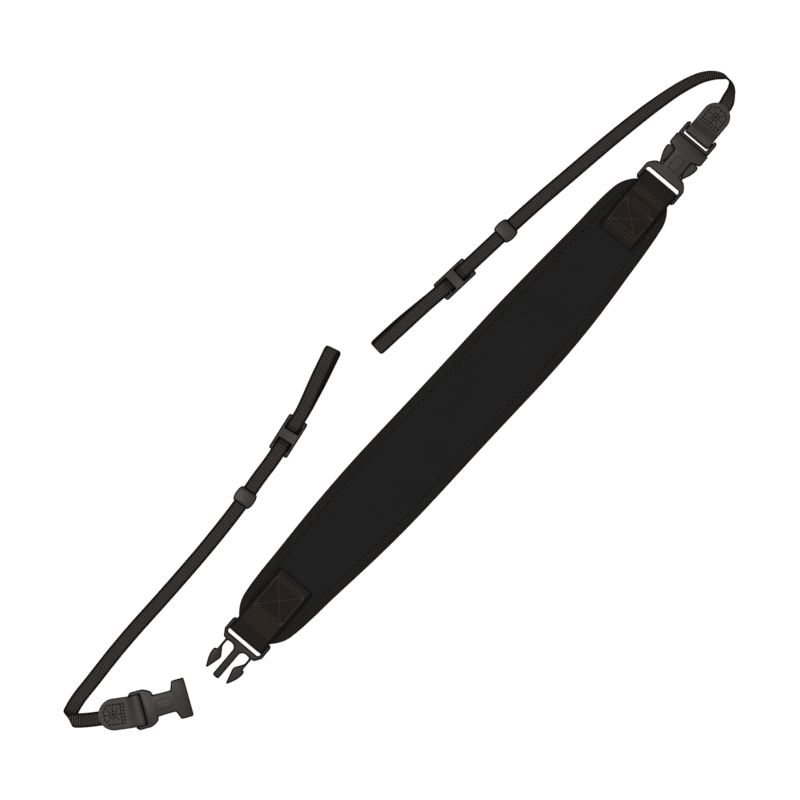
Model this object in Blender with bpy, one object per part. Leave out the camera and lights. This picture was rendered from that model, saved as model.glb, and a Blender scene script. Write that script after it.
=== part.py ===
# Camera neck strap lying flat on a table: a padded neck piece with two wide
# webbing tabs, two side-release buckles, two leather tabs and two narrow
# adjustable straps that end in loops. Metres, +Z up. The origin is the middle of
# the neck pad's underside, +X runs along the pad and +Y towards the narrow straps.

import math

import bpy
import numpy as np

MM = 0.001

# General clearances
GAP = 0.3 * MM                  # between two pieces that touch on the real strap
FLOOR_GAP = 0.05 * MM           # under narrow webbing that lies on the table

# Neck pad and its binding tape
PAD_LENGTH = 455.4 * MM
PAD_WIDTH = 66.2 * MM
PAD_THICK = 5.0 * MM
PAD_END_THICK = 3.4 * MM        # the foam is squeezed where the tab is sewn on
PAD_SWAY = 3.3 * MM             # how far the ends lie off the line of the middle
BINDING_WIDTH = 7.4 * MM
BINDING_THICK = 0.8 * MM
BINDING_ROUND = 1.1 * MM        # rounding of the bound edge
PANEL_SLOPE = 0.9 * MM          # width of the panel's step down to the binding

# Wide webbing tabs
TAB_WIDTH = 31.7 * MM
TAB_THICK = 1.3 * MM
LEFT_TAB_REACH = 49.8 * MM      # from the pad's end inwards
RIGHT_TAB_REACH = 45.0 * MM
TAB_TURN_UNDER = 3.0 * MM       # how much shorter the lower layer is

# Buckles, shared by all four halves
MALE_HEIGHT = 4.2 * MM
CAVITY_PLAY = 0.35 * MM
PLATE_THICK = 1.55 * MM         # upper and lower plate of the socket
SOCKET_WALL = 1.7 * MM
SOCKET_DEPTH = 29.2 * MM
HEAD_WIDTH = 30.2 * MM
HEAD_LENGTH = 9.4 * MM
SHOULDER_LENGTH = 3.2 * MM
NECK_WIDTH = 16.4 * MM
NECK_END = 26.2 * MM            # from the mouth
FLARE_LENGTH = 7.0 * MM
FRAME_HEIGHT = 4.8 * MM         # thickness of a socket's slotted end
BAR_HEIGHT = 2.8 * MM
EDGE_ROUND = 1.0 * MM
PRONG_LENGTH = 28.1 * MM
PRONG_WIDTH = 5.6 * MM
ARM_SPACING = 23.9 * MM         # middle to middle
ARM_THICK = 1.6 * MM
BARB_START = 10.6 * MM
BARB_LENGTH = 16.4 * MM
BARB_OUT = 15.1 * MM            # from the buckle's axis to a barb's outer side
BARB_IN = 6.4 * MM
MALE_EDGE = 0.45 * MM
MATE_GAP = 0.35 * MM

# Slotted ends for the wide webbing and for the leather: a rail on each side, a
# crossbar, the opening, the bar and then the inset of the bar from the rails' ends.
PRONG_WIDE_END = {"width": 37.2 * MM, "rail": 2.4 * MM, "crossbar": 4.1 * MM, "opening": 4.8 * MM,
                  "bar": 3.0 * MM, "inset": 5.2 * MM, "chamfer": 1.6 * MM}
SOCKET_WIDE_END = {"width": 36.4 * MM, "rail": 2.0 * MM, "crossbar": 0.5 * MM, "opening": 4.8 * MM,
                   "bar": 3.0 * MM, "inset": 4.9 * MM, "chamfer": 1.6 * MM}
SOCKET_LEATHER_END = {"width": 29.6 * MM, "rail": 2.3 * MM, "crossbar": 2.2 * MM, "opening": 2.2 * MM,
                      "bar": 3.3 * MM, "inset": 3.5 * MM, "chamfer": 0.8 * MM}
PRONG_LEATHER_END = {"width": 29.0 * MM, "rail": 2.5 * MM, "crossbar": 1.75 * MM, "opening": 3.7 * MM,
                     "bar": 4.9 * MM, "inset": 1.95 * MM, "chamfer": 0.8 * MM}
RAIL_CHAMFER = 1.7 * MM         # outer corners at the rails' ends
PLUG_LENGTH = 3.0 * MM          # the part of the fastened prongs' crossbar inside the socket

# Where the buckles lie
RIGHT_STANDOFF = 1.4 * MM       # pad's end to the slotted end of the buckle
LEFT_STANDOFF = 1.3 * MM
RIGHT_SIDEWAYS = -0.6 * MM      # buckle's axis from the middle of the pad's end
RIGHT_HEADING = 2.4             # degrees
LEFT_HEADING = 182.2
BUCKLE_MIDDLE = 4.2 * MM        # height of a socket's middle plane
FREE_PRONG_MIDDLE = 3.5 * MM
FREE_SOCKET_OFFSET = (-53.4 * MM, 3.9 * MM)     # from the free prongs' plane to the free mouth
FREE_SOCKET_HEADING = -32.0

# Leather tabs
LEFT_LEATHER_WIDTH = 24.0 * MM
RIGHT_LEATHER_WIDTH = 22.3 * MM
LEATHER_THICK = 1.4 * MM
LEFT_LEATHER_LENGTH = 35.2 * MM     # from its fold to its round tip
RIGHT_LEATHER_LENGTH = 35.15 * MM
LEATHER_FLOOR = 0.2 * MM
LEFT_LEATHER_TURN = -7.5        # degrees, past the buckle
LEATHER_TURN_LENGTH = 8.0 * MM

# Narrow webbing
STRAP_WIDTH = 10.9 * MM
STRAP_THICK = 1.2 * MM
STRAP_TUCK = 10.0 * MM          # sewn in between the leather's layers
STRAP_START = 0.65 * MM         # the straps' routes start this far inside the tips
LEFT_STRAP_SIDE = 1.5 * MM      # and the left one this far beside the leather's middle
RIGHT_RUN = 371.3 * MM          # leather tip to the loop's end
LEFT_RUN = 346.3 * MM           # fold to the loop's end
FOLD_HEIGHT = 8.2 * MM          # of the left strap's fold, middle to middle
FOLD_LIFT = 2.6 * MM            # keeps the fold's lower edge off the table
FOLD_APPROACH = 17.9 * MM       # leather tip to the fold
FOLD_IN_HEADING = 131.0
FOLD_OUT_HEADING = 15.0
LOOP_OPEN = 5.9 * MM            # inside height of each loop at its end
LEFT_SPLAY = 1.1 * MM           # how far the loop's upper layer lies to the side
RIGHT_SPLAY = 0.9 * MM
LEATHER_LEAVE = 3.0 * MM        # past the leather's tip the right strap bends down
LEATHER_DROP = 14.0 * MM        # and is down on the table here
TAIL_CLIMB = 9.0 * MM           # ahead of the tail's end the webbing rises on to it
SLIDER_DROP = 11.0 * MM         # past the slider the loop's lower layer is down on the table
SPLAY_END = 20.0 * MM           # the splay is full this far before the loop's end
WIDE_BEND = 20.0 * MM           # radii of the webbing's gentle bends
MIDDLE_BEND = 12.0 * MM
CLOSE_BEND = 6.0 * MM

# Sliders and keepers on the narrow webbing
SLIDER_LENGTH = 30.8 * MM
SLIDER_WIDTH = 16.2 * MM
SLIDER_THICK = 2.4 * MM
SLIDER_RAIL = 2.1 * MM
SLIDER_SHIFT = 0.25 * MM        # the webbing lies nearer to one rail
SLIDER_CENTRE_BAR = 8.3 * MM
SLIDER_END_BAR = 4.6 * MM
SLIDER_CORNER = 1.3 * MM
SLIDER_EDGE = 0.4 * MM
RIGHT_SLIDER_REACH = 81.2 * MM  # slider's middle to the loop's end
LEFT_SLIDER_REACH = 76.3 * MM
RIGHT_KEEPER_REACH = 135.3 * MM
LEFT_KEEPER_REACH = 134.2 * MM
RIGHT_TAIL_REACH = 178.0 * MM
LEFT_TAIL_REACH = 171.8 * MM
KEEPER_LENGTH = 11.8 * MM
KEEPER_WALL = 1.0 * MM
KEEPER_PLAY = 0.4 * MM          # beside the webbing
KEEPER_BULGE = 1.1 * MM         # each side swells by this at the middle
WEAVE_SLOPE = 56.0              # degrees, webbing in the slider's openings

# Pad outline: station as a share of half the length, width as a share of PAD_WIDTH
PAD_OUTLINE = (
    {"station": 0.000, "width": 1.000},
    {"station": 0.430, "width": 0.990},
    {"station": 0.550, "width": 0.953},
    {"station": 0.650, "width": 0.906},
    {"station": 0.750, "width": 0.855},
    {"station": 0.850, "width": 0.812},
    {"station": 0.910, "width": 0.768},
    {"station": 0.945, "width": 0.722},
    {"station": 0.968, "width": 0.655},
    {"station": 0.985, "width": 0.577},
    {"station": 1.000, "width": 0.490},
)

# Line of the pad's middle: offset as a share of PAD_SWAY
PAD_MIDDLE = (
    {"station": -1.00, "offset": 0.55},
    {"station": -0.75, "offset": 0.53},
    {"station": -0.40, "offset": 0.26},
    {"station": 0.00, "offset": 0.00},
    {"station": 0.30, "offset": -0.16},
    {"station": 0.55, "offset": -0.03},
    {"station": 0.75, "offset": 0.42},
    {"station": 0.90, "offset": 0.88},
    {"station": 1.00, "offset": 1.00},
)

# Right strap, from the leather to its loop: distance as a share of RIGHT_RUN,
# heading and roll in degrees. It stands up on its outer edge where it turns.
RIGHT_STRAP_ROUTE = (
    {"share": 0.000, "heading": 2.4, "roll": 0.0},
    {"share": 0.012, "heading": 23.0, "roll": 14.0},
    {"share": 0.031, "heading": 24.0, "roll": 42.0},
    {"share": 0.049, "heading": 53.7, "roll": 66.0},
    {"share": 0.060, "heading": 88.5, "roll": 80.0},
    {"share": 0.073, "heading": 115.4, "roll": 62.0},
    {"share": 0.094, "heading": 136.3, "roll": 46.0},
    {"share": 0.131, "heading": 157.0, "roll": 35.0},
    {"share": 0.187, "heading": 166.2, "roll": 29.0},
    {"share": 0.270, "heading": 170.4, "roll": 17.0},
    {"share": 0.400, "heading": 173.1, "roll": 2.0},
    {"share": 0.500, "heading": 172.7, "roll": 0.0},
    {"share": 0.640, "heading": 175.5, "roll": 0.0},
    {"share": 0.780, "heading": 175.6, "roll": 0.0},
    {"share": 0.840, "heading": 172.2, "roll": 0.0},
    {"share": 1.000, "heading": 175.8, "roll": 0.0},
)

# Left strap, from its fold to its loop
LEFT_STRAP_ROUTE = (
    {"share": 0.000, "heading": 15.0},
    {"share": 0.050, "heading": 3.0},
    {"share": 0.110, "heading": 4.8},
    {"share": 0.260, "heading": 0.2},
    {"share": 0.420, "heading": 1.6},
    {"share": 0.550, "heading": 4.4},
    {"share": 0.640, "heading": 8.1},
    {"share": 0.690, "heading": 4.4},
    {"share": 0.735, "heading": 9.5},
    {"share": 0.828, "heading": 10.8},
    {"share": 0.862, "heading": 16.4},
    {"share": 1.000, "heading": 16.6},
)


# Small helpers

def column(rows, name):
    return np.array([row[name] for row in rows])


def smooth(stations, values, wanted):
    """A smooth curve through table rows: cubic pieces with averaged slopes."""
    slopes = np.gradient(values, stations)
    i = np.clip(np.searchsorted(stations, wanted, side="right") - 1, 0, len(stations) - 2)
    span = stations[i + 1] - stations[i]
    t = (wanted - stations[i]) / span
    return ((1 + 2 * t) * (1 - t) ** 2 * values[i]
            + t * (1 - t) ** 2 * span * slopes[i]
            + t * t * (3 - 2 * t) * values[i + 1]
            + t * t * (t - 1) * span * slopes[i + 1])


def ease(low, high, position):
    """0 before low, 1 after high and a smooth step between them."""
    t = np.clip((position - low) / (high - low), 0.0, 1.0)
    return t * t * (3 - 2 * t)


def material(name, colour, roughness, metallic=0.0):
    new = bpy.data.materials.new(name)
    new.use_nodes = True
    shader = new.node_tree.nodes["Principled BSDF"]
    shader.inputs["Base Color"].default_value = (*colour, 1.0)
    shader.inputs["Roughness"].default_value = roughness
    shader.inputs["Metallic"].default_value = metallic
    return new


def add_object(name, points, faces, finish, place=(0.0, 0.0, 0.0), heading=0.0, smooth_angle=35.0):
    mesh = bpy.data.meshes.new(name)
    mesh.from_pydata([tuple(p) for p in points], [], faces)
    mesh.validate()
    mesh.shade_smooth()
    mesh.set_sharp_from_angle(angle=math.radians(smooth_angle))
    new = bpy.data.objects.new(name, mesh)
    new.location = place
    new.rotation_euler[2] = math.radians(heading)
    if finish is not None:
        mesh.materials.append(finish)
    bpy.context.scene.collection.objects.link(new)
    return new


def add_cutter(name, points, faces, target):
    """Cut a hidden solid out of another object, in that object's own frame."""
    cutter = add_object(name, points, faces, None)
    cutter.parent = target
    cutter.hide_render = True
    cutter.display_type = "WIRE"
    cut = target.modifiers.new(name, "BOOLEAN")
    cut.operation = "DIFFERENCE"
    cut.solver = "EXACT"
    cut.object = cutter


def outward(points, faces):
    """Turn every face round when the faces point into the solid."""
    volume = 0.0
    for face in faces:
        for second, third in zip(face[1:], face[2:]):
            volume += points[face[0]] @ np.cross(points[second], points[third])
    return faces if volume > 0 else [tuple(reversed(face)) for face in faces]


def loft(loops, closed=False):
    """Join loops with equal point counts by quads; cap both ends unless closed."""
    count = len(loops[0])
    rows = len(loops)
    points = np.concatenate(loops)
    faces = []
    for row in range(rows if closed else rows - 1):
        first, second = row * count, (row + 1) % rows * count
        for i in range(count):
            j = (i + 1) % count
            faces.append((first + i, first + j, second + j, second + i))
    if not closed:
        faces.append(tuple(reversed(range(count))))
        faces.append(tuple(range((rows - 1) * count, rows * count)))
    return points, outward(points, faces)


def rounded_path(corners, radii, arc_step=24.0):
    """Round the inner corners of a 2-D path with arcs of the given radii."""
    corners = [np.array(c, float) for c in corners]
    path = [corners[0]]
    for before, corner, after, radius in zip(corners, corners[1:], corners[2:], radii):
        back, ahead = before - corner, after - corner
        room = 0.49 * min(np.linalg.norm(back), np.linalg.norm(ahead))
        back, ahead = back / np.linalg.norm(back), ahead / np.linalg.norm(ahead)
        if np.linalg.norm(back + ahead) < 0.02:
            path.append(corner)
            continue
        half = 0.5 * math.acos(np.clip(back @ ahead, -1.0, 1.0))
        reach = min(radius / math.tan(half), room)
        radius = reach * math.tan(half)
        middle = corner + (back + ahead) / np.linalg.norm(back + ahead) * radius / math.sin(half)
        start, end = corner + back * reach - middle, corner + ahead * reach - middle
        sweep = math.pi - 2 * half
        steps = max(1, math.ceil(math.degrees(sweep) / arc_step))
        for step in range(steps + 1):
            a = step / steps
            arm = start * math.sin((1 - a) * sweep) + end * math.sin(a * sweep)
            path.append(middle + arm / math.sin(sweep))
    path.append(corners[-1])
    return np.array(path)


def offset_path(path, distance):
    """Shift a 2-D path to its left by a distance."""
    ahead = np.gradient(path, axis=0)
    ahead /= np.linalg.norm(ahead, axis=1)[:, None]
    return path + distance * np.stack([-ahead[:, 1], ahead[:, 0]], axis=1)


def filled_path(path, longest):
    """Add points so that no stretch of the path is longer than the given length."""
    out = [path[0]]
    for start, end in zip(path, path[1:]):
        pieces = max(1, math.ceil(np.linalg.norm(end - start) / longest))
        out.extend(start + (end - start) * (k + 1) / pieces for k in range(pieces))
    return np.array(out)


def plan_route(origin, distances, headings):
    """A route on the table: headings in degrees at distances; origin is at distance 0."""
    s = np.linspace(distances[0], distances[-1], 1201)
    turn = np.radians(np.interp(s, distances, headings))
    step = np.diff(s)
    x = np.concatenate([[0.0], np.cumsum(step * np.cos(0.5 * (turn[1:] + turn[:-1])))])
    y = np.concatenate([[0.0], np.cumsum(step * np.sin(0.5 * (turn[1:] + turn[:-1])))])
    x += origin[0] - np.interp(0.0, s, x)
    y += origin[1] - np.interp(0.0, s, y)
    return {"s": s, "x": x, "y": y, "turn": turn}


def route_point(route, distance):
    return np.array([np.interp(distance, route["s"], route["x"]),
                     np.interp(distance, route["s"], route["y"])])


def route_heading(route, distance):
    return math.degrees(np.interp(distance, route["s"], route["turn"]))


def lay_on_route(route, path, side=1.0, roll=None, width=0.0, shift=0.0):
    """Carry a (distance, height) path along a route. Returns the middle line and, at
    each of its points, the direction across the band, rolled up about its outer edge.
    A shift moves each point to the route's left."""
    s = path[:, 0]
    turn = np.interp(s, route["s"], route["turn"])
    roll = np.zeros(len(s)) if roll is None else np.radians(roll)
    middle = np.stack([np.interp(s, route["s"], route["x"]) - shift * np.sin(turn),
                       np.interp(s, route["s"], route["y"]) + shift * np.cos(turn),
                       path[:, 1] + 0.5 * width * np.sin(roll)], axis=1)
    across = np.stack([-np.sin(turn) * np.cos(roll), np.cos(turn) * np.cos(roll), np.sin(roll)], axis=1)
    return middle, across * side


def band(middle, across, widths, thick):
    """A flat band as a closed solid: a rectangle carried along its middle line."""
    ahead = np.gradient(middle, axis=0)
    normal = np.cross(ahead, across)
    normal /= np.linalg.norm(normal, axis=1)[:, None]
    half = 0.5 * np.broadcast_to(widths, len(middle))[:, None] * across
    lift = 0.5 * thick * normal
    loops = np.stack([middle - half - lift, middle + half - lift,
                      middle + half + lift, middle - half + lift], axis=1)
    return loft(list(loops[:, ::-1]))


# Neck pad

def pad_stations():
    """Stations from end to end, closer together towards the ends."""
    quarter = np.linspace(0.0, 0.5 * math.pi, 15)
    half = np.sin(quarter)
    return np.concatenate([-half[:0:-1], half])


def pad_edges(station):
    """Half width, how slanted the edge is, the middle line and the thickness."""
    shares = 0.5 * PAD_WIDTH * smooth(column(PAD_OUTLINE, "station"),
                                      column(PAD_OUTLINE, "width"), np.abs(station))
    slope = np.gradient(shares, station * 0.5 * PAD_LENGTH)
    middle = PAD_SWAY * smooth(column(PAD_MIDDLE, "station"), column(PAD_MIDDLE, "offset"), station)
    from_end = 0.5 * PAD_LENGTH * (1 - np.abs(station))
    squeeze = np.clip(1 - from_end / np.where(station < 0, LEFT_TAB_REACH, RIGHT_TAB_REACH), 0.0, 1.0)
    thick = PAD_THICK - (PAD_THICK - PAD_END_THICK) * squeeze
    return shares, np.sqrt(1 + slope ** 2), middle, thick


def neck_pad(finish):
    station = pad_stations()
    half, slant, middle, thick = pad_edges(station)
    inside = BINDING_THICK + GAP
    shelf = BINDING_WIDTH + GAP
    loops = []
    for s, h, k, m, t in zip(station, half, slant, middle, thick):
        side = [(shelf + PANEL_SLOPE, 0.0), (shelf, inside), (inside, inside),
                (inside, t - inside), (shelf, t - inside), (shelf + PANEL_SLOPE, t)]
        right = [(h - q * k, z) for q, z in side]
        left = [(-y, z) for y, z in reversed(right)]
        loops.append(np.array([(0.5 * PAD_LENGTH * s, m + y, z) for y, z in right + left]))
    add_object("neck_pad", *loft(loops), finish)


def pad_binding(name, side, finish):
    """Tape folded round one long edge of the pad: a C-shaped section."""
    station = pad_stations()
    half, slant, middle, thick = pad_edges(station)
    e, w = BINDING_ROUND, BINDING_THICK
    loops = []
    for s, h, k, m, t in zip(station, half, slant, middle, thick):
        outer = [(BINDING_WIDTH, 0.0), (e, 0.0), (0.0, e), (0.0, t - e), (e, t), (BINDING_WIDTH, t)]
        inner = [(BINDING_WIDTH, t - w), (w + 0.3 * e, t - w), (w, t - w - 0.3 * e),
                 (w, w + 0.3 * e), (w + 0.3 * e, w), (BINDING_WIDTH, w)]
        ring = [(m + side * (h - q * k), z) for q, z in outer + inner]
        if side > 0:
            ring.reverse()
        loops.append(np.array([(0.5 * PAD_LENGTH * s, y, z) for y, z in reversed(ring)]))
    add_object(name, *loft(loops), finish)


# Buckles

def section(x, half_width, half_height, corner):
    """A rectangle with rounded corners across the buckle's axis."""
    corner = min(corner, 0.6 * half_width, 0.6 * half_height)
    loop = []
    for quarter in range(4):
        sy = 1 if quarter in (0, 3) else -1
        sz = 1 if quarter in (0, 1) else -1
        for step in range(3):
            a = math.radians(90 * quarter + 45 * step)
            loop.append((x, sy * (half_width - corner) + corner * math.cos(a),
                         sz * (half_height - corner) + corner * math.sin(a)))
    return np.array(loop)


def slot_cutter(front, end):
    """A square tube round the bar: it opens the slot and frees the bar. The slot's
    two corners away from the bar are cut off. front is where the slot begins."""
    bar_near = front - end["opening"]
    bar_far = bar_near - end["bar"]
    far = bar_far - 2 * end["inset"]
    tall = FRAME_HEIGHT
    flat = 0.3 * BAR_HEIGHT
    round_bar = [(bar_near, -flat), (bar_near, flat), (bar_near - flat, 0.5 * BAR_HEIGHT),
                 (bar_far + flat, 0.5 * BAR_HEIGHT), (bar_far, flat), (bar_far, -flat),
                 (bar_far + flat, -0.5 * BAR_HEIGHT), (bar_near - flat, -0.5 * BAR_HEIGHT)]
    half, cut = 0.5 * end["width"] - end["rail"], end["chamfer"]
    loops = []
    for y, nearest in ((-half, front - cut), (cut - half, front), (half - cut, front), (half, front - cut)):
        outer = [(nearest, -0.4 * tall), (nearest, 0.4 * tall), (nearest, tall), (far, tall),
                 (far, 0.4 * tall), (far, -0.4 * tall), (far, -tall), (nearest, -tall)]
        loops.append([np.array([(x, y, z) for x, z in outer]),
                      np.array([(x, y, z) for x, z in round_bar])])
    ring = [pair[0] for pair in loops] + [pair[1] for pair in reversed(loops)]
    return loft(ring, closed=True)


def end_length(end):
    """From the front of the crossbar to the rails' ends."""
    return sum(end[part] for part in ("crossbar", "opening", "bar", "inset"))


def socket_length(end):
    return NECK_END + FLARE_LENGTH + end_length(end)


def socket_buckle(name, place, heading, end, finish):
    """The female half. Its mouth is at x = 0 and its slotted end on the -X side."""
    tall = 0.5 * MALE_HEIGHT + CAVITY_PLAY + PLATE_THICK
    low = 0.5 * FRAME_HEIGHT
    head, neck, frame = 0.5 * HEAD_WIDTH, 0.5 * NECK_WIDTH, 0.5 * end["width"]
    shoulder = HEAD_LENGTH + SHOULDER_LENGTH
    flare = NECK_END + FLARE_LENGTH
    length = socket_length(end)
    rows = [(0.0, head - 0.3 * EDGE_ROUND, tall - 0.3 * EDGE_ROUND), (0.5 * EDGE_ROUND, head, tall),
            (HEAD_LENGTH - EDGE_ROUND, head, tall), (HEAD_LENGTH, head - 0.5 * EDGE_ROUND, tall)]
    for t in (0.3, 0.6, 0.85, 1.0):
        rows.append((HEAD_LENGTH + t * SHOULDER_LENGTH,
                     neck + (head - neck - 0.5 * EDGE_ROUND) * (1 - t) ** 1.6, tall))
    rows.append((0.5 * (shoulder + NECK_END), neck, tall))
    rows.append((NECK_END, neck + 0.02 * frame, tall))
    for t in (0.07, 0.18, 0.45, 0.7, 1.0):
        rows.append((NECK_END + t * FLARE_LENGTH, neck + (frame - neck) * t ** 0.38,
                     tall - (tall - low) * 0.6 * t))
    rows.append((flare + 0.3 * (length - flare), frame, low))
    rows.append((length - RAIL_CHAMFER, frame, low))
    rows.append((length, frame - 0.7 * RAIL_CHAMFER, low - 0.4 * EDGE_ROUND))
    loops = [section(-x, w, h, EDGE_ROUND) for x, w, h in rows]
    body = add_object(name, *loft(loops[::-1]), finish, place, heading)

    half_wide = head - SOCKET_WALL
    half_tall = 0.5 * MALE_HEIGHT + CAVITY_PLAY
    ends = [np.array([(x, y * half_wide, z * half_tall)
                      for y, z in ((-1, -1), (1, -1), (1, 1), (-1, 1))])
            for x in (-SOCKET_DEPTH, 2 * MM)]
    add_cutter(name + "_cavity", *loft(ends), body)
    add_cutter(name + "_slot", *slot_cutter(-flare - end["crossbar"], end), body)


def prong_outline(end, gap, root):
    """Half of the male half's outline, from its slotted end to the prong's tip. x = 0
    is the plane of the socket's mouth, gap is what it leaves to the crossbar there, and
    root is where prong and arms start."""
    frame = 0.5 * end["width"]
    back = gap + end_length(end)
    arm_in, arm_out = 0.5 * (ARM_SPACING - ARM_THICK), 0.5 * (ARM_SPACING + ARM_THICK)
    prong = 0.5 * PRONG_WIDTH
    tip = BARB_START + BARB_LENGTH
    face = 0.0 if root == 0 else -MATE_GAP
    cut = 0.8 * MM
    front = [(face - 0.32 * back, frame), (face - 0.14 * back, frame - 0.35 * (frame - arm_out)),
             (face, arm_out + 0.4 * (frame - arm_out))]
    if root > 0:
        front = [(face - cut, frame), (face, frame - cut)]
    return (
        [(-back, 0.0), (-back, frame - 0.7 * RAIL_CHAMFER), (RAIL_CHAMFER - back, frame)] + front
        + [(face, arm_out + MALE_EDGE), (face + MALE_EDGE, arm_out)]
        + [(BARB_START, arm_out), (BARB_START + 0.05 * BARB_LENGTH, BARB_OUT - 0.3 * MM)]
        + [(BARB_START + 0.18 * BARB_LENGTH, BARB_OUT), (BARB_START + 0.36 * BARB_LENGTH, BARB_OUT - 0.4 * MM)]
        + [(BARB_START + 0.58 * BARB_LENGTH, 0.68 * BARB_OUT + 0.32 * 0.7 * BARB_OUT)]
        + [(tip - 0.3 * MM, 0.7 * BARB_OUT), (tip - 0.3 * MM, 0.7 * BARB_OUT - 1.0 * MM)]
        + [(BARB_START + 0.55 * BARB_LENGTH, BARB_IN + 0.32 * (0.7 * BARB_OUT - BARB_IN))]
        + [(BARB_START + 0.28 * BARB_LENGTH, BARB_IN), (BARB_START + 0.18 * BARB_LENGTH, BARB_IN)]
        + [(0.62 * BARB_START, arm_in - 0.2 * MM), (0.5 * BARB_START + 0.5 * root, arm_in)]
        + [(root + 1.6 * MM, arm_in), (root + 0.4 * MM, arm_in - 0.5 * MM), (root, arm_in - 1.6 * MM)]
        + [(root, prong + 3.4 * MM), (root + 0.8 * MM, prong + 1.6 * MM), (root + 2.2 * MM, prong + 0.4 * MM)]
        + [(root + 4.0 * MM, prong), (PRONG_LENGTH - cut, prong), (PRONG_LENGTH, prong - cut), (PRONG_LENGTH, 0.0)]
    )


def inset(outline, distance):
    """Move a closed counter-clockwise outline inwards, square to its sides."""
    after = np.roll(outline, -1, axis=0) - outline
    after /= np.linalg.norm(after, axis=1)[:, None]
    before = np.roll(after, 1, axis=0)
    n_after = np.stack([-after[:, 1], after[:, 0]], axis=1)
    n_before = np.stack([-before[:, 1], before[:, 0]], axis=1)
    both = n_after + n_before
    scale = distance / np.maximum(0.5 * np.sum(both * both, axis=1), 0.25)
    return outline + both * scale[:, None]


def prong_buckle(name, place, heading, end, gap, root, finish):
    """The male half: a slotted frame with a middle prong and two sprung arms."""
    half = np.array(prong_outline(end, gap, root))
    outline = np.concatenate([half * (1, -1), half[-2:0:-1]])
    loops = []
    tall = 0.5 * MALE_HEIGHT
    for z, shrink in ((-tall, MALE_EDGE), (MALE_EDGE - tall, 0.0), (tall - MALE_EDGE, 0.0), (tall, MALE_EDGE)):
        flat = inset(outline, shrink)
        loops.append(np.column_stack([flat, np.full(len(flat), z)]))
    body = add_object(name, *loft(loops), finish, place, heading)
    add_cutter(name + "_slot", *slot_cutter(-gap - end["crossbar"], end), body)


# Webbing tabs and leather tabs

def webbing_tab(name, route, reach, standoff, end, bar_middle, finish):
    """Two layers sewn on the pad's end and folded round the buckle's bar."""
    over = 0.5 * BAR_HEIGHT + GAP + 0.5 * TAB_THICK
    bar_far = standoff + end["inset"]
    bar_near = bar_far + end["bar"]
    fold = bar_near + GAP + 0.5 * TAB_THICK
    lower_end = PAD_END_THICK + GAP + 0.5 * TAB_THICK
    lower_start = PAD_THICK + GAP + 0.5 * TAB_THICK
    step = TAB_THICK + GAP
    slope = (lower_end - lower_start) / reach
    leave = 0.6 * MM
    corners = [(-reach, lower_start + step), (leave, lower_end + step), (bar_far, bar_middle + over),
               (fold, bar_middle + over), (fold, bar_middle - over), (bar_far, bar_middle - over),
               (leave, lower_end), (TAB_TURN_UNDER - reach, lower_start + slope * TAB_TURN_UNDER)]
    radii = [2 * MM, 3 * MM, over, over, TAB_THICK, TAB_THICK]
    path = rounded_path(corners, radii)
    middle, across = lay_on_route(route, path)
    add_object(name, *band(middle, across, TAB_WIDTH, TAB_THICK), finish)


def leather_tab(name, route, bar_near, bar_far, bar_middle, length, width, finish):
    """A strip folded round the bar with a round tip on each layer. Distances run
    from the fold's bar towards the tip."""
    over = 0.5 * BAR_HEIGHT + GAP + 0.5 * LEATHER_THICK
    low = LEATHER_FLOOR + 0.5 * LEATHER_THICK
    step = LEATHER_THICK + STRAP_THICK + 2 * GAP
    fold = bar_near - GAP - 0.5 * LEATHER_THICK
    tip = fold - 0.5 * LEATHER_THICK + length
    down = bar_far + 7.0 * MM
    corners = [(tip, low), (down, low), (bar_far, bar_middle - over), (fold, bar_middle - over),
               (fold, bar_middle + over), (bar_far, bar_middle + over), (down, low + step), (tip, low + step)]
    radii = [8 * MM, 8 * MM, over, over, 8 * MM, 8 * MM]
    path = rounded_path(corners, radii)
    radius = 0.5 * width
    around = np.sin(np.radians([80.0, 62.0, 44.0, 24.0, 0.0]))
    round_tip = [tip - radius + radius * a for a in around]
    lower = [(s, low) for s in round_tip]
    upper = [(s, low + step) for s in reversed(round_tip)]
    keep = [p for p in path[1:-1] if not (p[0] > round_tip[-1] - 0.5 * MM)]
    path = np.array(lower + [tuple(p) for p in keep] + upper)
    past = np.clip(path[:, 0] - round_tip[-1], 0.0, None)
    widths = 2 * np.sqrt(radius ** 2 - past ** 2)
    middle, across = lay_on_route(route, path)
    add_object(name, *band(middle, across, widths, LEATHER_THICK), finish)
    return tip, low + 0.5 * step


# Narrow straps with their sliders and keepers

def slider_heights():
    """Heights of the pair of layers: under the centre bar and over the end bars."""
    pair = STRAP_THICK + 0.5 * GAP
    under = FLOOR_GAP + pair
    frame_low = under + pair + GAP
    over = frame_low + SLIDER_THICK + GAP + pair
    return under, frame_low, over


def keeper_heights():
    floor = FLOOR_GAP
    inside = floor + KEEPER_WALL
    pair = STRAP_THICK + 0.5 * GAP
    middle = inside + GAP + pair
    return floor, inside, middle, middle + pair + GAP


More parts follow.
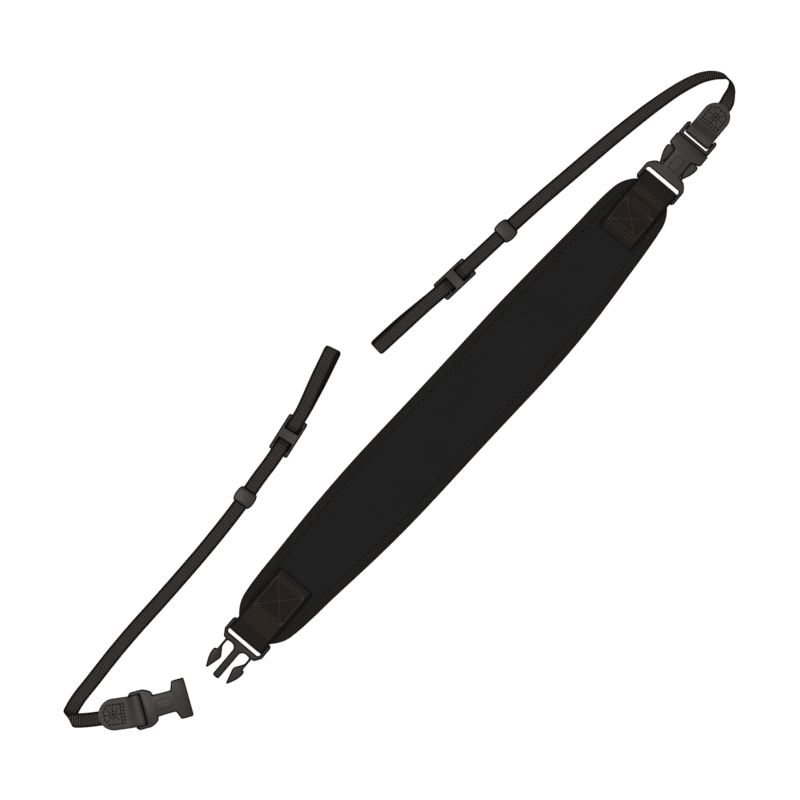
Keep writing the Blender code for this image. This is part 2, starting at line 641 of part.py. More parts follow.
def doubled_stretch(tail, keeper, slider):
    """Middle line of the two layers from the tail's end through keeper and slider."""
    under, _, over = slider_heights()
    middle = keeper_heights()[2]
    half, bar = 0.5 * SLIDER_LENGTH, 0.5 * SLIDER_CENTRE_BAR
    end_bar = half - SLIDER_END_BAR
    slot_middle = 0.5 * (bar + end_bar)
    run = 0.5 * (over - under) / math.tan(math.radians(WEAVE_SLOPE))
    flat = 0.8 * KEEPER_LENGTH
    lying = FLOOR_GAP + STRAP_THICK + 0.5 * GAP
    corners = [(tail, lying), (keeper - flat, middle), (keeper + flat, middle),
               (slider - half, over), (slider - slot_middle - run, over),
               (slider - slot_middle + run, under), (slider + slot_middle - run, under),
               (slider + slot_middle + run, over), (slider + half, over)]
    tight = STRAP_THICK + GAP + 0.4 * MM
    radii = [WIDE_BEND, WIDE_BEND, MIDDLE_BEND, tight, tight, tight, tight]
    return rounded_path(corners, radii)


def narrow_path(run, tail_reach, keeper_reach, slider_reach, start):
    """The (distance, height) path of a strap: out over the doubled stretch to the
    loop's end, round it, and back to the tail. start lists its first corners."""
    tail, keeper, slider = run - tail_reach, run - keeper_reach, run - slider_reach
    pair = doubled_stretch(tail, keeper, slider)
    shift = 0.5 * (STRAP_THICK + GAP)
    upper, lower = offset_path(pair, shift), offset_path(pair, -shift)
    floor = FLOOR_GAP + 0.5 * STRAP_THICK
    radius = 0.5 * (LOOP_OPEN + STRAP_THICK)
    high = floor + 2 * radius
    bend = run - 0.5 * STRAP_THICK - radius
    angles = np.radians(np.linspace(90.0, -90.0, 9))
    end = np.column_stack([bend + radius * np.cos(angles), floor + radius + radius * np.sin(angles)])
    lead = rounded_path(list(start) + [(tail - TAIL_CLIMB, floor),
                                       (tail - 1 * MM, floor + STRAP_THICK + GAP), upper[1]],
                        [CLOSE_BEND] * (len(start) - 1) + [MIDDLE_BEND] * 2)
    leave = slider + 0.5 * SLIDER_LENGTH
    drop = leave + SLIDER_DROP
    climb = rounded_path([end[-1], (drop, floor), (leave + 1 * MM, lower[-1][1]), lower[-2]],
                         [MIDDLE_BEND, CLOSE_BEND])
    path = np.concatenate([lead[:-1], upper[1:], [(drop, 0.5 * (high + upper[-1][1]))], end[:-1],
                           climb[:-1], lower[-2::-1]])
    return filled_path(path, 11 * MM)


def loop_splay(path, slider, run, splay):
    """Sideways shift of a strap's points: its upper layer leans one way in the loop
    and its lower layer the other way."""
    radius = 0.5 * (LOOP_OPEN + STRAP_THICK)
    height = (path[:, 1] - FLOOR_GAP - 0.5 * STRAP_THICK - radius) / radius
    return splay * np.clip(height, -1.0, 1.0) * ease(slider + 0.5 * SLIDER_LENGTH, run - SPLAY_END, path[:, 0])


def slider_frame(name, route, distance, shift, finish):
    """A flat plate with two openings, lying on the webbing under its centre bar and
    shifted to the route's left."""
    _, low, _ = slider_heights()
    half_long, half_wide = 0.5 * SLIDER_LENGTH, 0.5 * SLIDER_WIDTH
    corner = SLIDER_CORNER
    outline = []
    for quarter, (sx, sy) in enumerate(((1, 1), (-1, 1), (-1, -1), (1, -1))):
        for step in range(4):
            a = math.radians(90 * quarter + 30 * step)
            outline.append((sx * (half_long - corner) + corner * math.cos(a),
                            sy * (half_wide - corner) + corner * math.sin(a)))
    outline = np.array(outline)
    loops = []
    for z, shrink in ((0.0, SLIDER_EDGE), (SLIDER_EDGE, 0.0),
                      (SLIDER_THICK - SLIDER_EDGE, 0.0), (SLIDER_THICK, SLIDER_EDGE)):
        flat = inset(outline, shrink)
        loops.append(np.column_stack([flat, np.full(len(flat), z)]))
    x, y = route_point(route, distance)
    heading = route_heading(route, distance)
    x -= shift * math.sin(math.radians(heading))
    y += shift * math.cos(math.radians(heading))
    plate = add_object(name, *loft(loops), finish, (x, y, low), heading)
    inner, outer = 0.5 * SLIDER_CENTRE_BAR, half_long - SLIDER_END_BAR
    across = half_wide - SLIDER_RAIL
    for word, low_x, high_x in (("near", -outer, -inner), ("far", inner, outer)):
        ends = [np.array([(px, py, z) for px, py in ((low_x, -across), (high_x, -across),
                                                     (high_x, across), (low_x, across))])
                for z in (-SLIDER_THICK, 2 * SLIDER_THICK)]
        add_cutter(name + "_" + word, *loft(ends), plate)


def strap_keeper(name, route, distance, finish):
    """A loop of plastic round both layers, wider at its middle."""
    floor, inside, _, inside_top = keeper_heights()
    top = inside_top + KEEPER_WALL
    hole = 0.5 * STRAP_WIDTH + KEEPER_PLAY
    loops = []

    def ring(x, half_width, low, high, corner):
        centre, half = 0.5 * (low + high), 0.5 * (high - low)
        return section(x, half_width, half, corner) + (0.0, 0.0, centre)

    for share in np.linspace(-1.0, 1.0, 7):
        swell = KEEPER_BULGE * math.cos(0.5 * math.pi * share) ** 0.8
        edge = 0.25 * MM if abs(share) == 1.0 else 0.0
        loops.append(ring(0.5 * KEEPER_LENGTH * share, hole + KEEPER_WALL + swell - edge,
                          floor + edge, top - edge, 0.9 * MM))
    for share in (1.0, -1.0):
        loops.append(ring(0.5 * KEEPER_LENGTH * share, hole, inside, inside_top, 0.3 * MM))
    x, y = route_point(route, distance)
    add_object(name, *loft(loops, closed=True), finish, (x, y, 0.0), route_heading(route, distance))


def right_strap(start, heading, height, finishes):
    rows = RIGHT_STRAP_ROUTE
    distances = np.concatenate([[-2 * STRAP_TUCK], column(rows, "share") * RIGHT_RUN])
    headings = np.concatenate([[heading], column(rows, "heading")])
    route = plan_route(start, distances, headings)
    floor = FLOOR_GAP + 0.5 * STRAP_THICK
    first = [(-STRAP_TUCK, height), (LEATHER_LEAVE, height), (LEATHER_DROP, floor)]
    path = narrow_path(RIGHT_RUN, RIGHT_TAIL_REACH, RIGHT_KEEPER_REACH, RIGHT_SLIDER_REACH, first)
    # the turn needs closer stations than the rest
    turning = (path[:, 0] < 0.2 * RIGHT_RUN) & (path[:, 1] < height + STRAP_THICK)
    last = int(np.argmax(~turning))
    path = np.concatenate([filled_path(path[:last], 3.4 * MM), path[last:]])
    roll = smooth(column(rows, "share") * RIGHT_RUN, column(rows, "roll"), np.clip(path[:, 0], 0.0, RIGHT_RUN))
    keeper, slider = RIGHT_RUN - RIGHT_KEEPER_REACH, RIGHT_RUN - RIGHT_SLIDER_REACH
    shift = loop_splay(path, slider, RIGHT_RUN, RIGHT_SPLAY)
    middle, across = lay_on_route(route, path, 1.0, roll, STRAP_WIDTH, shift)
    add_object("strap_right", *band(middle, across, STRAP_WIDTH, STRAP_THICK), finishes["webbing"])
    strap_keeper("keeper_right", route, keeper, finishes["plastic"])
    slider_frame("slider_right", route, slider, SLIDER_SHIFT, finishes["plastic"])


def left_strap(start, heading, height, finishes):
    """This one folds over itself once: it climbs from the leather, turns over a
    slanted half cylinder and comes back along the table."""
    radius = 0.5 * FOLD_HEIGHT
    floor = FLOOR_GAP + 0.5 * STRAP_THICK
    into = np.radians(FOLD_IN_HEADING)
    axis = 0.5 * np.radians(FOLD_IN_HEADING + FOLD_OUT_HEADING)
    along = np.array([math.cos(axis), math.sin(axis)])
    outward = np.array([math.cos(axis + 0.5 * math.pi), math.sin(axis + 0.5 * math.pi)])
    pitch = radius / math.tan(into - axis)

    leather = np.radians(heading)
    bends = np.linspace(0.0, 1.0, 8)
    tuck = np.array(start) - STRAP_TUCK * np.array([math.cos(leather), math.sin(leather)])
    climb_xy = [tuck]
    climb_z = [height]
    direction = [leather]
    spot = np.array(start, float)
    for k, t in enumerate(bends):
        turn = leather + (into - leather) * t
        if k > 0:
            spot = spot + FOLD_APPROACH / (len(bends) - 1) * np.array([math.cos(turn), math.sin(turn)])
        climb_xy.append(spot.copy())
        climb_z.append(height + (floor + 2 * radius - height) * ease(0.0, 1.0, t))
        direction.append(turn)
    climb_xy, climb_z, direction = np.array(climb_xy), np.array(climb_z), np.array(direction)
    climb = np.column_stack([climb_xy, climb_z])
    climb_across = np.column_stack([-np.sin(direction), np.cos(direction), np.zeros(len(direction))])

    angle = np.linspace(0.0, math.pi, 11)[1:]
    top = climb_xy[-1]
    fold_xy = top + np.outer(radius * np.sin(angle), outward) + np.outer(pitch * angle, along)
    lift = FOLD_LIFT * np.sin(angle) * 0.5 * (1 - np.cos(angle))
    fold = np.column_stack([fold_xy, floor + radius + radius * np.cos(angle) + lift])
    lean = into - axis
    fold_across = np.column_stack([
        np.outer(math.cos(lean) * np.cos(angle), outward) - math.sin(lean) * along,
        -math.cos(lean) * np.sin(angle)])

    rows = LEFT_STRAP_ROUTE
    route = plan_route(fold_xy[-1], column(rows, "share") * LEFT_RUN, column(rows, "heading"))
    path = narrow_path(LEFT_RUN, LEFT_TAIL_REACH, LEFT_KEEPER_REACH, LEFT_SLIDER_REACH,
                       [(0.0, floor), (WIDE_BEND, floor)])
    keeper, slider = LEFT_RUN - LEFT_KEEPER_REACH, LEFT_RUN - LEFT_SLIDER_REACH
    shift = loop_splay(path, slider, LEFT_RUN, LEFT_SPLAY)
    middle, across = lay_on_route(route, path, -1.0, shift=shift)
    middle = np.concatenate([climb, fold, middle[1:]])
    across = np.concatenate([climb_across, fold_across, across[1:]])
    add_object("strap_left", *band(middle, across, STRAP_WIDTH, STRAP_THICK), finishes["webbing"])
    strap_keeper("keeper_left", route, keeper, finishes["plastic"])
    slider_frame("slider_left", route, slider, -SLIDER_SHIFT, finishes["plastic"])


# The whole strap

def build():
    for old in list(bpy.data.objects):
        bpy.data.objects.remove(old, do_unlink=True)
    finishes = {
        "foam": material("pad_fabric", (0.014, 0.015, 0.017), 0.75),
        "binding": material("binding_tape", (0.016, 0.013, 0.011), 0.85),
        "webbing": material("webbing", (0.030, 0.025, 0.022), 0.8),
        "plastic": material("acetal_plastic", (0.055, 0.050, 0.046), 0.42),
        "leather": material("leather", (0.055, 0.049, 0.045), 0.55),
    }
    neck_pad(finishes["foam"])
    pad_binding("binding_front", -1.0, finishes["binding"])
    pad_binding("binding_back", 1.0, finishes["binding"])

    # Right end: the socket is sewn to the pad and the prongs sit in it
    pad_end = 0.5 * PAD_LENGTH
    middle_right = PAD_SWAY * column(PAD_MIDDLE, "offset")[-1]
    middle_right += RIGHT_SIDEWAYS
    right = plan_route((pad_end, middle_right), (-PAD_LENGTH, PAD_LENGTH), (RIGHT_HEADING, RIGHT_HEADING))
    webbing_tab("webbing_tab_right", right, RIGHT_TAB_REACH, RIGHT_STANDOFF, SOCKET_WIDE_END,
                BUCKLE_MIDDLE, finishes["webbing"])
    mouth = RIGHT_STANDOFF + socket_length(SOCKET_WIDE_END)
    x, y = route_point(right, mouth)
    socket_buckle("socket_right", (x, y, BUCKLE_MIDDLE), RIGHT_HEADING, SOCKET_WIDE_END,
                  finishes["plastic"])
    prong_buckle("prongs_right", (x, y, BUCKLE_MIDDLE), RIGHT_HEADING + 180.0, PRONG_LEATHER_END,
                 MATE_GAP, PLUG_LENGTH, finishes["plastic"])
    near = mouth + MATE_GAP + PRONG_LEATHER_END["crossbar"] + PRONG_LEATHER_END["opening"]
    tip, height = leather_tab("leather_tab_right", right, near, near + PRONG_LEATHER_END["bar"],
                              BUCKLE_MIDDLE, RIGHT_LEATHER_LENGTH, RIGHT_LEATHER_WIDTH,
                              finishes["leather"])
    right_strap(route_point(right, tip - STRAP_START), RIGHT_HEADING, height, finishes)

    # Left end: the prongs are sewn to the pad and lie free
    middle_left = PAD_SWAY * column(PAD_MIDDLE, "offset")[0]
    left = plan_route((-pad_end, middle_left), (-PAD_LENGTH, PAD_LENGTH), (LEFT_HEADING, LEFT_HEADING))
    webbing_tab("webbing_tab_left", left, LEFT_TAB_REACH, LEFT_STANDOFF, PRONG_WIDE_END,
                FREE_PRONG_MIDDLE, finishes["webbing"])
    x, y = route_point(left, LEFT_STANDOFF + end_length(PRONG_WIDE_END))
    prong_buckle("prongs_left", (x, y, FREE_PRONG_MIDDLE), LEFT_HEADING, PRONG_WIDE_END, 0.0,
                 0.0, finishes["plastic"])

    # The free socket lies beside it, on its leather tab and narrow strap
    free = (x + FREE_SOCKET_OFFSET[0], y + FREE_SOCKET_OFFSET[1])
    socket_buckle("socket_left", (*free, BUCKLE_MIDDLE), FREE_SOCKET_HEADING,
                  SOCKET_LEATHER_END, finishes["plastic"])
    away = FREE_SOCKET_HEADING + 180.0
    length = socket_length(SOCKET_LEATHER_END)
    far = length - SOCKET_LEATHER_END["inset"]
    near = far - SOCKET_LEATHER_END["bar"]
    bent = plan_route(free, (-length, far, far + LEATHER_TURN_LENGTH, 3 * length),
                      (away, away, away + LEFT_LEATHER_TURN, away + LEFT_LEATHER_TURN))
    tip, height = leather_tab("leather_tab_left", bent, near, far, BUCKLE_MIDDLE, LEFT_LEATHER_LENGTH,
                              LEFT_LEATHER_WIDTH, finishes["leather"])
    x, y = route_point(bent, tip - STRAP_START)
    turn = math.radians(away + LEFT_LEATHER_TURN)
    start = (x - LEFT_STRAP_SIDE * math.sin(turn), y + LEFT_STRAP_SIDE * math.cos(turn))
    left_strap(start, away + LEFT_LEATHER_TURN, height, finishes)


build()
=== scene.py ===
import math

import bmesh
import bpy
import numpy as np
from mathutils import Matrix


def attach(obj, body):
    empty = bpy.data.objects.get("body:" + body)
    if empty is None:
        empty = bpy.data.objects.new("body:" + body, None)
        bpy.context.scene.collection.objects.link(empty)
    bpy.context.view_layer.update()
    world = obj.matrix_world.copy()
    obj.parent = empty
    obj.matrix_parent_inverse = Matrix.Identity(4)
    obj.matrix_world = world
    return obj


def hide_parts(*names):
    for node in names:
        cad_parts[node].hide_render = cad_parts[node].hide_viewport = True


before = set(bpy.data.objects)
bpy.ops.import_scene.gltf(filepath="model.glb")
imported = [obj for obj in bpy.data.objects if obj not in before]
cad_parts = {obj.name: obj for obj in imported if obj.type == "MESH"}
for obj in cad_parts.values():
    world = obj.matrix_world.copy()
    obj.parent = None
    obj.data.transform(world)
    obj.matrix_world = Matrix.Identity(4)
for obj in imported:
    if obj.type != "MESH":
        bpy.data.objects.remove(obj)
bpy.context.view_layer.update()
mm = 0.001

# where the photo was taken from: straight above, the pad turned 47.6 degrees in the picture
view = {
    "centre": (-21.2 * mm, 38.5 * mm),
    "span": 616.5 * mm,        # width of the picture on the table
    "turn": -47.6,             # degrees, the picture's right-hand direction
    "height": 3.0,
    "sensor": 36.0,
    "farthest": 20.0,
}


# Paths and surfaces

def joined(*parts):
    # coordinates of any matching shapes, side by side in the last axis
    return np.stack(np.broadcast_arrays(*parts), axis=-1)


def lengthAlong(points):
    # s[k] = sum of |p[i + 1] - p[i]| up to point k
    return np.concatenate([[0.0], np.cumsum(np.linalg.norm(np.diff(points, axis=0), axis=1))])


def resample(s, length, points):
    return np.stack([np.interp(s, length, column) for column in points.T], axis=1)


def smoothTable(table, name, x, key="station"):
    # cubic pieces through the table, with averaged slopes: h(t) of Hermite's four terms
    xs, ys = np.array(table[key]), np.array(table[name])
    slopes = np.gradient(ys, xs)
    i = np.clip(np.searchsorted(xs, x, side="right") - 1, 0, len(xs) - 2)
    span = xs[i + 1] - xs[i]
    t = (x - xs[i]) / span
    return ((1 + 2 * t) * (1 - t) ** 2 * ys[i] + t * (1 - t) ** 2 * span * slopes[i]
            + t * t * (3 - 2 * t) * ys[i + 1] + t * t * (t - 1) * span * slopes[i + 1])


def ease(low, high, x):
    # 0 below low, 1 above high, 3t^2 - 2t^3 in between
    t = np.clip((x - low) / (high - low), 0.0, 1.0)
    return t * t * (3 - 2 * t)


def roundedPath(corners, radii, arcStep=9.0, longestShare=0.49, foldedBack=0.02):
    # straight stretches joined by arcs: each inner corner gets a circle that touches both sides
    corners = [np.array(c, float) for c in corners]
    path = [corners[0]]
    for before, corner, after, radius in zip(corners, corners[1:], corners[2:], radii):
        back, ahead = before - corner, after - corner
        room = longestShare * min(np.linalg.norm(back), np.linalg.norm(ahead))
        back, ahead = back / np.linalg.norm(back), ahead / np.linalg.norm(ahead)
        if np.linalg.norm(back + ahead) < foldedBack:
            path.append(corner)
            continue
        half = 0.5 * math.acos(np.clip(back @ ahead, -1.0, 1.0))
        reach = min(radius / math.tan(half), room)
        radius = reach * math.tan(half)
        middle = corner + (back + ahead) / np.linalg.norm(back + ahead) * radius / math.sin(half)
        start, end = corner + back * reach - middle, corner + ahead * reach - middle
        sweep = math.pi - 2 * half
        a = np.linspace(0.0, 1.0, max(2, math.ceil(math.degrees(sweep) / arcStep)) + 1)[:, None]
        arc = (start * np.sin((1 - a) * sweep) + end * np.sin(a * sweep)) / math.sin(sweep)
        path.extend(middle + arc)
    path.append(corners[-1])
    return np.array(path)


def offsetPath(path, distance):
    # p + distance * n, n being the path's left-hand normal
    ahead = np.gradient(path, axis=0)
    ahead /= np.linalg.norm(ahead, axis=1)[:, None]
    return path + distance * np.stack([-ahead[:, 1], ahead[:, 0]], axis=1)


def planRoute(origin, distances, headings, steps=1201):
    # a line on the table: x = sum of cos(heading) ds, y = sum of sin(heading) ds
    s = np.linspace(distances[0], distances[-1], steps)
    turn = np.radians(np.interp(s, distances, headings))
    half = 0.5 * (turn[1:] + turn[:-1])
    x = np.concatenate([[0.0], np.cumsum(np.diff(s) * np.cos(half))])
    y = np.concatenate([[0.0], np.cumsum(np.diff(s) * np.sin(half))])
    return {"s": s, "turn": turn, "x": x + origin[0] - np.interp(0.0, s, x),
            "y": y + origin[1] - np.interp(0.0, s, y)}


def routePoint(route, distance):
    return np.array([np.interp(distance, route["s"], route[axis]) for axis in ("x", "y")])


def layOnRoute(route, path, side=1.0, roll=0.0, width=0.0, shift=0.0):
    # (distance, height) carried to (x, y, z); across = (-sin, cos, 0) cos(roll) + z sin(roll)
    s = path[:, 0]
    turn = np.interp(s, route["s"], route["turn"])
    roll = np.radians(np.zeros(len(s)) + roll)
    middle = np.stack([np.interp(s, route["s"], route["x"]) - shift * np.sin(turn),
                       np.interp(s, route["s"], route["y"]) + shift * np.cos(turn),
                       path[:, 1] + 0.5 * width * np.sin(roll)], axis=1)
    across = joined(-np.sin(turn) * np.cos(roll), np.cos(turn) * np.cos(roll), np.sin(roll))
    return middle, across * side


def evenly(middle, across, spacing, soften):
    # the same line at equal steps of length; soften is the length of a moving average
    step = np.linalg.norm(np.diff(middle, axis=0), axis=1)
    keep = np.concatenate([[True], step > 1e-7])
    middle, across = middle[keep], across[keep]
    length = lengthAlong(middle)
    count = max(8, int(round(length[-1] / spacing)))
    s = np.linspace(0.0, length[-1], count + 1)
    middle, across = resample(s, length, middle), resample(s, length, across)
    window = int(soften / spacing) // 2
    if window > 0:
        kernel = np.hanning(2 * window + 3)[1:-1]
        kernel /= kernel.sum()
        for line in (middle, across):
            ends = np.concatenate([2 * line[:1] - line[window:0:-1], line,
                                   2 * line[-1:] - line[-2:-window - 2:-1]])
            line[:] = np.stack([np.convolve(column, kernel, "valid") for column in ends.T], axis=1)
    across /= np.linalg.norm(across, axis=1)[:, None]
    normal = np.cross(np.gradient(middle, axis=0), across)
    normal /= np.linalg.norm(normal, axis=1)[:, None]
    return {"middle": middle, "across": across, "normal": normal, "s": s}


def newObject(name, data):
    made = bpy.data.objects.new(name, data)
    bpy.context.scene.collection.objects.link(made)
    return made


def closedMesh(name, points, faces, uv=None, sharpAngle=60.0):
    # its faces look outwards: volume = sum of a . (b x c) / 6 over the triangles is above zero
    points = points.reshape(-1, 3)
    mesh = bpy.data.meshes.new(name)
    mesh.from_pydata(points, [], faces)
    if uv is not None:
        mesh.uv_layers.new(name="surface").data.foreach_set("uv", uv.ravel().astype(np.float32))
    mesh.validate()
    mesh.calc_loop_triangles()
    tri = np.empty(len(mesh.loop_triangles) * 3, dtype=np.int32)
    mesh.loop_triangles.foreach_get("vertices", tri)
    a, b, c = points[tri.reshape(-1, 3)].transpose(1, 0, 2)
    if np.sum(a * np.cross(b, c)) < 0:
        mesh.flip_normals()
    mesh.shade_smooth()
    if uv is not None:
        mesh.set_sharp_from_angle(angle=math.radians(sharpAngle))
    return newObject(name, mesh)


def gridMesh(name, points, uv, closedRows=False, sharpAngle=60.0):
    # points[row, column] joined by quads, each row closed round; uv has one column more, and one
    # row more where the rows close too; rows that stay open get a cap at both ends
    rows, columns = points.shape[:2]
    r = np.arange(rows if closedRows else rows - 1)[:, None]
    c = np.arange(columns)[None, :]
    low, high = r * columns, (r + 1) % rows * columns
    onward = (c + 1) % columns
    faces = np.stack([low + c, low + onward, high + onward, high + c], axis=-1).reshape(-1, 4).tolist()
    low, high = r * (columns + 1) + c, (r + 1) * (columns + 1) + c
    flatUv = uv.reshape(-1, 2)[np.stack([low, low + 1, high + 1, high], axis=-1).ravel()]
    if not closedRows:
        last = (rows - 1) * columns
        faces += [list(range(columns))[::-1], list(range(last, last + columns))]
        flatUv = np.concatenate([flatUv, uv[0, :columns][::-1], uv[-1, :columns]])
    return closedMesh(name, points, faces, flatUv, sharpAngle)


def tapeProfile(columns, corner):
    # a tape's section as (across, up) shares: across = sin(t), up = +-sqrt(1 - |across|^corner)
    t = np.linspace(0.5 * math.pi, -0.5 * math.pi, columns)
    y = np.sin(t)
    up = np.sqrt(np.clip(1 - np.abs(y) ** corner, 0.0, 1.0))
    return np.concatenate([y, y[-2:0:-1]]), np.concatenate([up, -up[-2:0:-1]])


def tape(name, line, halfWidth, halfThick, columns, relief, corner=6, widthAlong=1.0):
    # point = middle + across * halfWidth * y + normal * (halfThick * up + relief(s, y) on both faces)
    y, up = tapeProfile(columns, corner)
    width = halfWidth * widthAlong * np.ones((len(line["s"]), 1))
    lift = halfThick * up + np.sign(up) * relief(line["s"][:, None], y[None, :])
    points = (line["middle"][:, None, :] + line["across"][:, None, :] * (width * y)[..., None]
              + line["normal"][:, None, :] * lift[..., None])
    closed = np.concatenate([y, y[:1]])
    return gridMesh(name, points, joined(line["s"][:, None], width * closed))


def threads(name, starts, ends, radius, bow=0.35, sides=6, rings=6):
    # each stitch is a spindle from start to end that bows up out of the cloth:
    # centre = start + (end - start) t + up * bow * sin(pi t), thickness ~ sin(pi t)^0.35
    t = 0.5 - 0.5 * np.cos(math.pi * np.linspace(0.0, 1.0, rings))
    run = ends - starts
    ahead = run / np.linalg.norm(run, axis=1)[:, None]
    side = np.cross([0.0, 0.0, 1.0], ahead)
    side /= np.linalg.norm(side, axis=1)[:, None]
    up = np.cross(ahead, side)
    arch = np.sin(math.pi * t)
    thick = radius * np.maximum(np.clip(arch, 0.0, 1.0) ** 0.35, 0.05)
    angle = np.arange(sides) * 2 * math.pi / sides
    centre = (starts[:, None, :] + run[:, None, :] * t[None, :, None]
              + up[:, None, :] * (bow * radius * 2 * arch - 0.6 * radius)[None, :, None])
    ring = (side[:, None, None, :] * np.cos(angle)[None, None, :, None]
            + up[:, None, None, :] * np.sin(angle)[None, None, :, None])
    points = centre[:, :, None, :] + ring * thick[None, :, None, None]
    base = (np.arange(len(starts)) * rings * sides)[:, None, None]
    r, c = np.arange(rings - 1)[None, :, None], np.arange(sides)[None, None, :]
    n = (c + 1) % sides
    quads = np.stack([base + r * sides + c, base + r * sides + n,
                      base + (r + 1) * sides + n, base + (r + 1) * sides + c], axis=-1).reshape(-1, 4)
    first = base[:, :, 0] + np.arange(sides)[::-1]
    last = base[:, :, 0] + (rings - 1) * sides + np.arange(sides)
    return closedMesh(name, points, quads.tolist() + first.tolist() + last.tolist())


# Materials

def fromHex(code):
    # sRGB to linear: ((c + 0.055) / 1.055)^2.4 above 0.04045, c / 12.92 below
    c = np.array([int(code[i:i + 2], 16) for i in (1, 3, 5)]) / 255
    linear = np.where(c <= 0.04045, c / 12.92, ((c + 0.055) / 1.055) ** 2.4)
    return (*[float(v) for v in linear], 1.0)


def addNode(tree, kind, settings=(), links=()):
    # settings: attribute name or input name to value; links: input name to socket
    node = tree.nodes.new(kind)
    for key, value in dict(settings).items():
        if isinstance(key, str) and hasattr(node, key):
            setattr(node, key, value)
        else:
            node.inputs[key].default_value = value
    for key, socket in dict(links).items():
        tree.links.new(socket, node.inputs[key])
    return node


def newMaterial(name, **shaderSettings):
    made = bpy.data.materials.new(name)
    made.use_nodes = True
    shader = made.node_tree.nodes["Principled BSDF"]
    for key, value in shaderSettings.items():
        shader.inputs[key.replace("_", " ")].default_value = value
    return made, made.node_tree, shader


def objectSpace(tree):
    return addNode(tree, "ShaderNodeTexCoord").outputs["Object"]


def noise(tree, where, scale, detail, roughness=0.5):
    settings = {"Scale": scale, "Detail": detail, "Roughness": roughness}
    return addNode(tree, "ShaderNodeTexNoise", settings, {"Vector": where}).outputs["Fac"]


def wave(tree, where, direction, pitch, settings):
    # Blender's wave texture repeats every pi / 10 units at scale 1
    settings = {"bands_direction": direction, "Scale": math.pi / 10 / pitch, **settings}
    return addNode(tree, "ShaderNodeTexWave", settings, {"Vector": where}).outputs["Fac"]


def arithmetic(tree, operation, links, settings=()):
    return addNode(tree, "ShaderNodeMath", {"operation": operation, **dict(settings)}, links).outputs[0]


def mapped(tree, value, source, target, kind="LINEAR"):
    # carries the range source to the range target
    settings = {"interpolation_type": kind, "From Min": source[0], "From Max": source[1],
                "To Min": target[0], "To Max": target[1]}
    return addNode(tree, "ShaderNodeMapRange", settings, {"Value": value}).outputs[0]


def blend(tree, first, second, share, how="MIX"):
    # from the first colour to the second, by the socket share; a colour is a tuple or a socket
    settings, links = {"data_type": "RGBA", "blend_type": how}, {0: share}
    for key, colour in ((6, first), (7, second)):
        (settings if isinstance(colour, tuple) else links)[key] = colour
    return addNode(tree, "ShaderNodeMix", settings, links).outputs[2]


def bumped(tree, height, strength, distance, links=()):
    settings = {"Strength": strength, "Distance": distance}
    return addNode(tree, "ShaderNodeBump", settings, {"Height": height, **dict(links)}).outputs[0]


def feed(tree, shader, sockets):
    for key, socket in sockets.items():
        tree.links.new(socket, shader.inputs[key])


def padKnit():
    # nylon jersey laminated to neoprene foam: matt, faintly blue-grey, with fine knitted wales whose hollows
    # carry painted shade
    made, tree, shader = newMaterial("padKnit", Roughness=0.9, Specular_IOR_Level=0.12)
    where = objectSpace(tree)
    wales = wave(tree, where, "Y", 0.9 * mm, {"Distortion": 0.6, "Detail": 1.0, "Detail Scale": 1.5})
    courses = wave(tree, where, "X", 0.75 * mm, {"Distortion": 0.5})
    loops = arithmetic(tree, "MULTIPLY", {0: wales, 1: courses})
    cloud = noise(tree, where, 22.0, 3.0, 0.55)
    lint = noise(tree, where, 700.0, 2.0)
    base = blend(tree, fromHex("#1a1b1c"), fromHex("#252526"), cloud)
    # painted shade: the colour is darkened where the knit's loops sink
    hollowShade = arithmetic(tree, "MULTIPLY_ADD", {0: loops}, {1: -0.55, 2: 0.55})
    dark = blend(tree, base, (0.62, 0.62, 0.62, 1.0), hollowShade, "MULTIPLY")
    specks = mapped(tree, lint, (0.66, 0.78), (0.0, 0.35))
    fine = bumped(tree, loops, 0.5, 0.12 * mm)
    feed(tree, shader, {"Base Color": blend(tree, dark, fromHex("#343537"), specks),
                        "Normal": bumped(tree, cloud, 0.35, 0.6 * mm, {"Normal": fine})})
    return made


def wovenTape(name, light, dark, edge, halfWidth, pickPitch, endPitch, pickShare):
    # woven tape: picks cross it every pickPitch, warp ends run along it every endPitch,
    # and painted shade darkens it towards its rounded selvedges; it reads the piece's own UV map in metres
    made, tree, shader = newMaterial(name, Roughness=0.8, Specular_IOR_Level=0.15)
    where = addNode(tree, "ShaderNodeUVMap", {"uv_map": "surface"}).outputs[0]
    picks = wave(tree, where, "X", pickPitch, {"Distortion": 0.9, "Detail": 1.0, "Detail Scale": 2.0})
    ends = wave(tree, where, "Y", endPitch, {"Distortion": 0.25})
    weave = addNode(tree, "ShaderNodeMix", {"data_type": "FLOAT", 0: pickShare}, {2: ends, 3: picks})
    fibre = noise(tree, where, 900.0, 3.0, 0.7)
    height = arithmetic(tree, "MULTIPLY_ADD", {0: fibre, 2: weave.outputs[0]}, {1: 0.35})
    shade = mapped(tree, height, (0.35, 0.98), (0.0, 1.0), "SMOOTHSTEP")
    base = blend(tree, fromHex(dark), fromHex(light), shade)
    drift = blend(tree, base, (0.78, 0.77, 0.80, 1.0), noise(tree, where, 60.0, 2.0), "MULTIPLY")
    parts = addNode(tree, "ShaderNodeSeparateXYZ", (), {0: where})
    offset = arithmetic(tree, "ABSOLUTE", {0: parts.outputs["Y"]})
    # painted shade: darker towards the rounded edges, in the edge colour
    edgeShade = mapped(tree, offset, (halfWidth - 2.1 * mm, halfWidth - 1.0 * mm), (0.0, 0.95), "SMOOTHSTEP")
    feed(tree, shader, {"Base Color": blend(tree, drift, fromHex(edge), edgeShade),
                        "Normal": bumped(tree, height, 0.7, 0.18 * mm)})
    return made


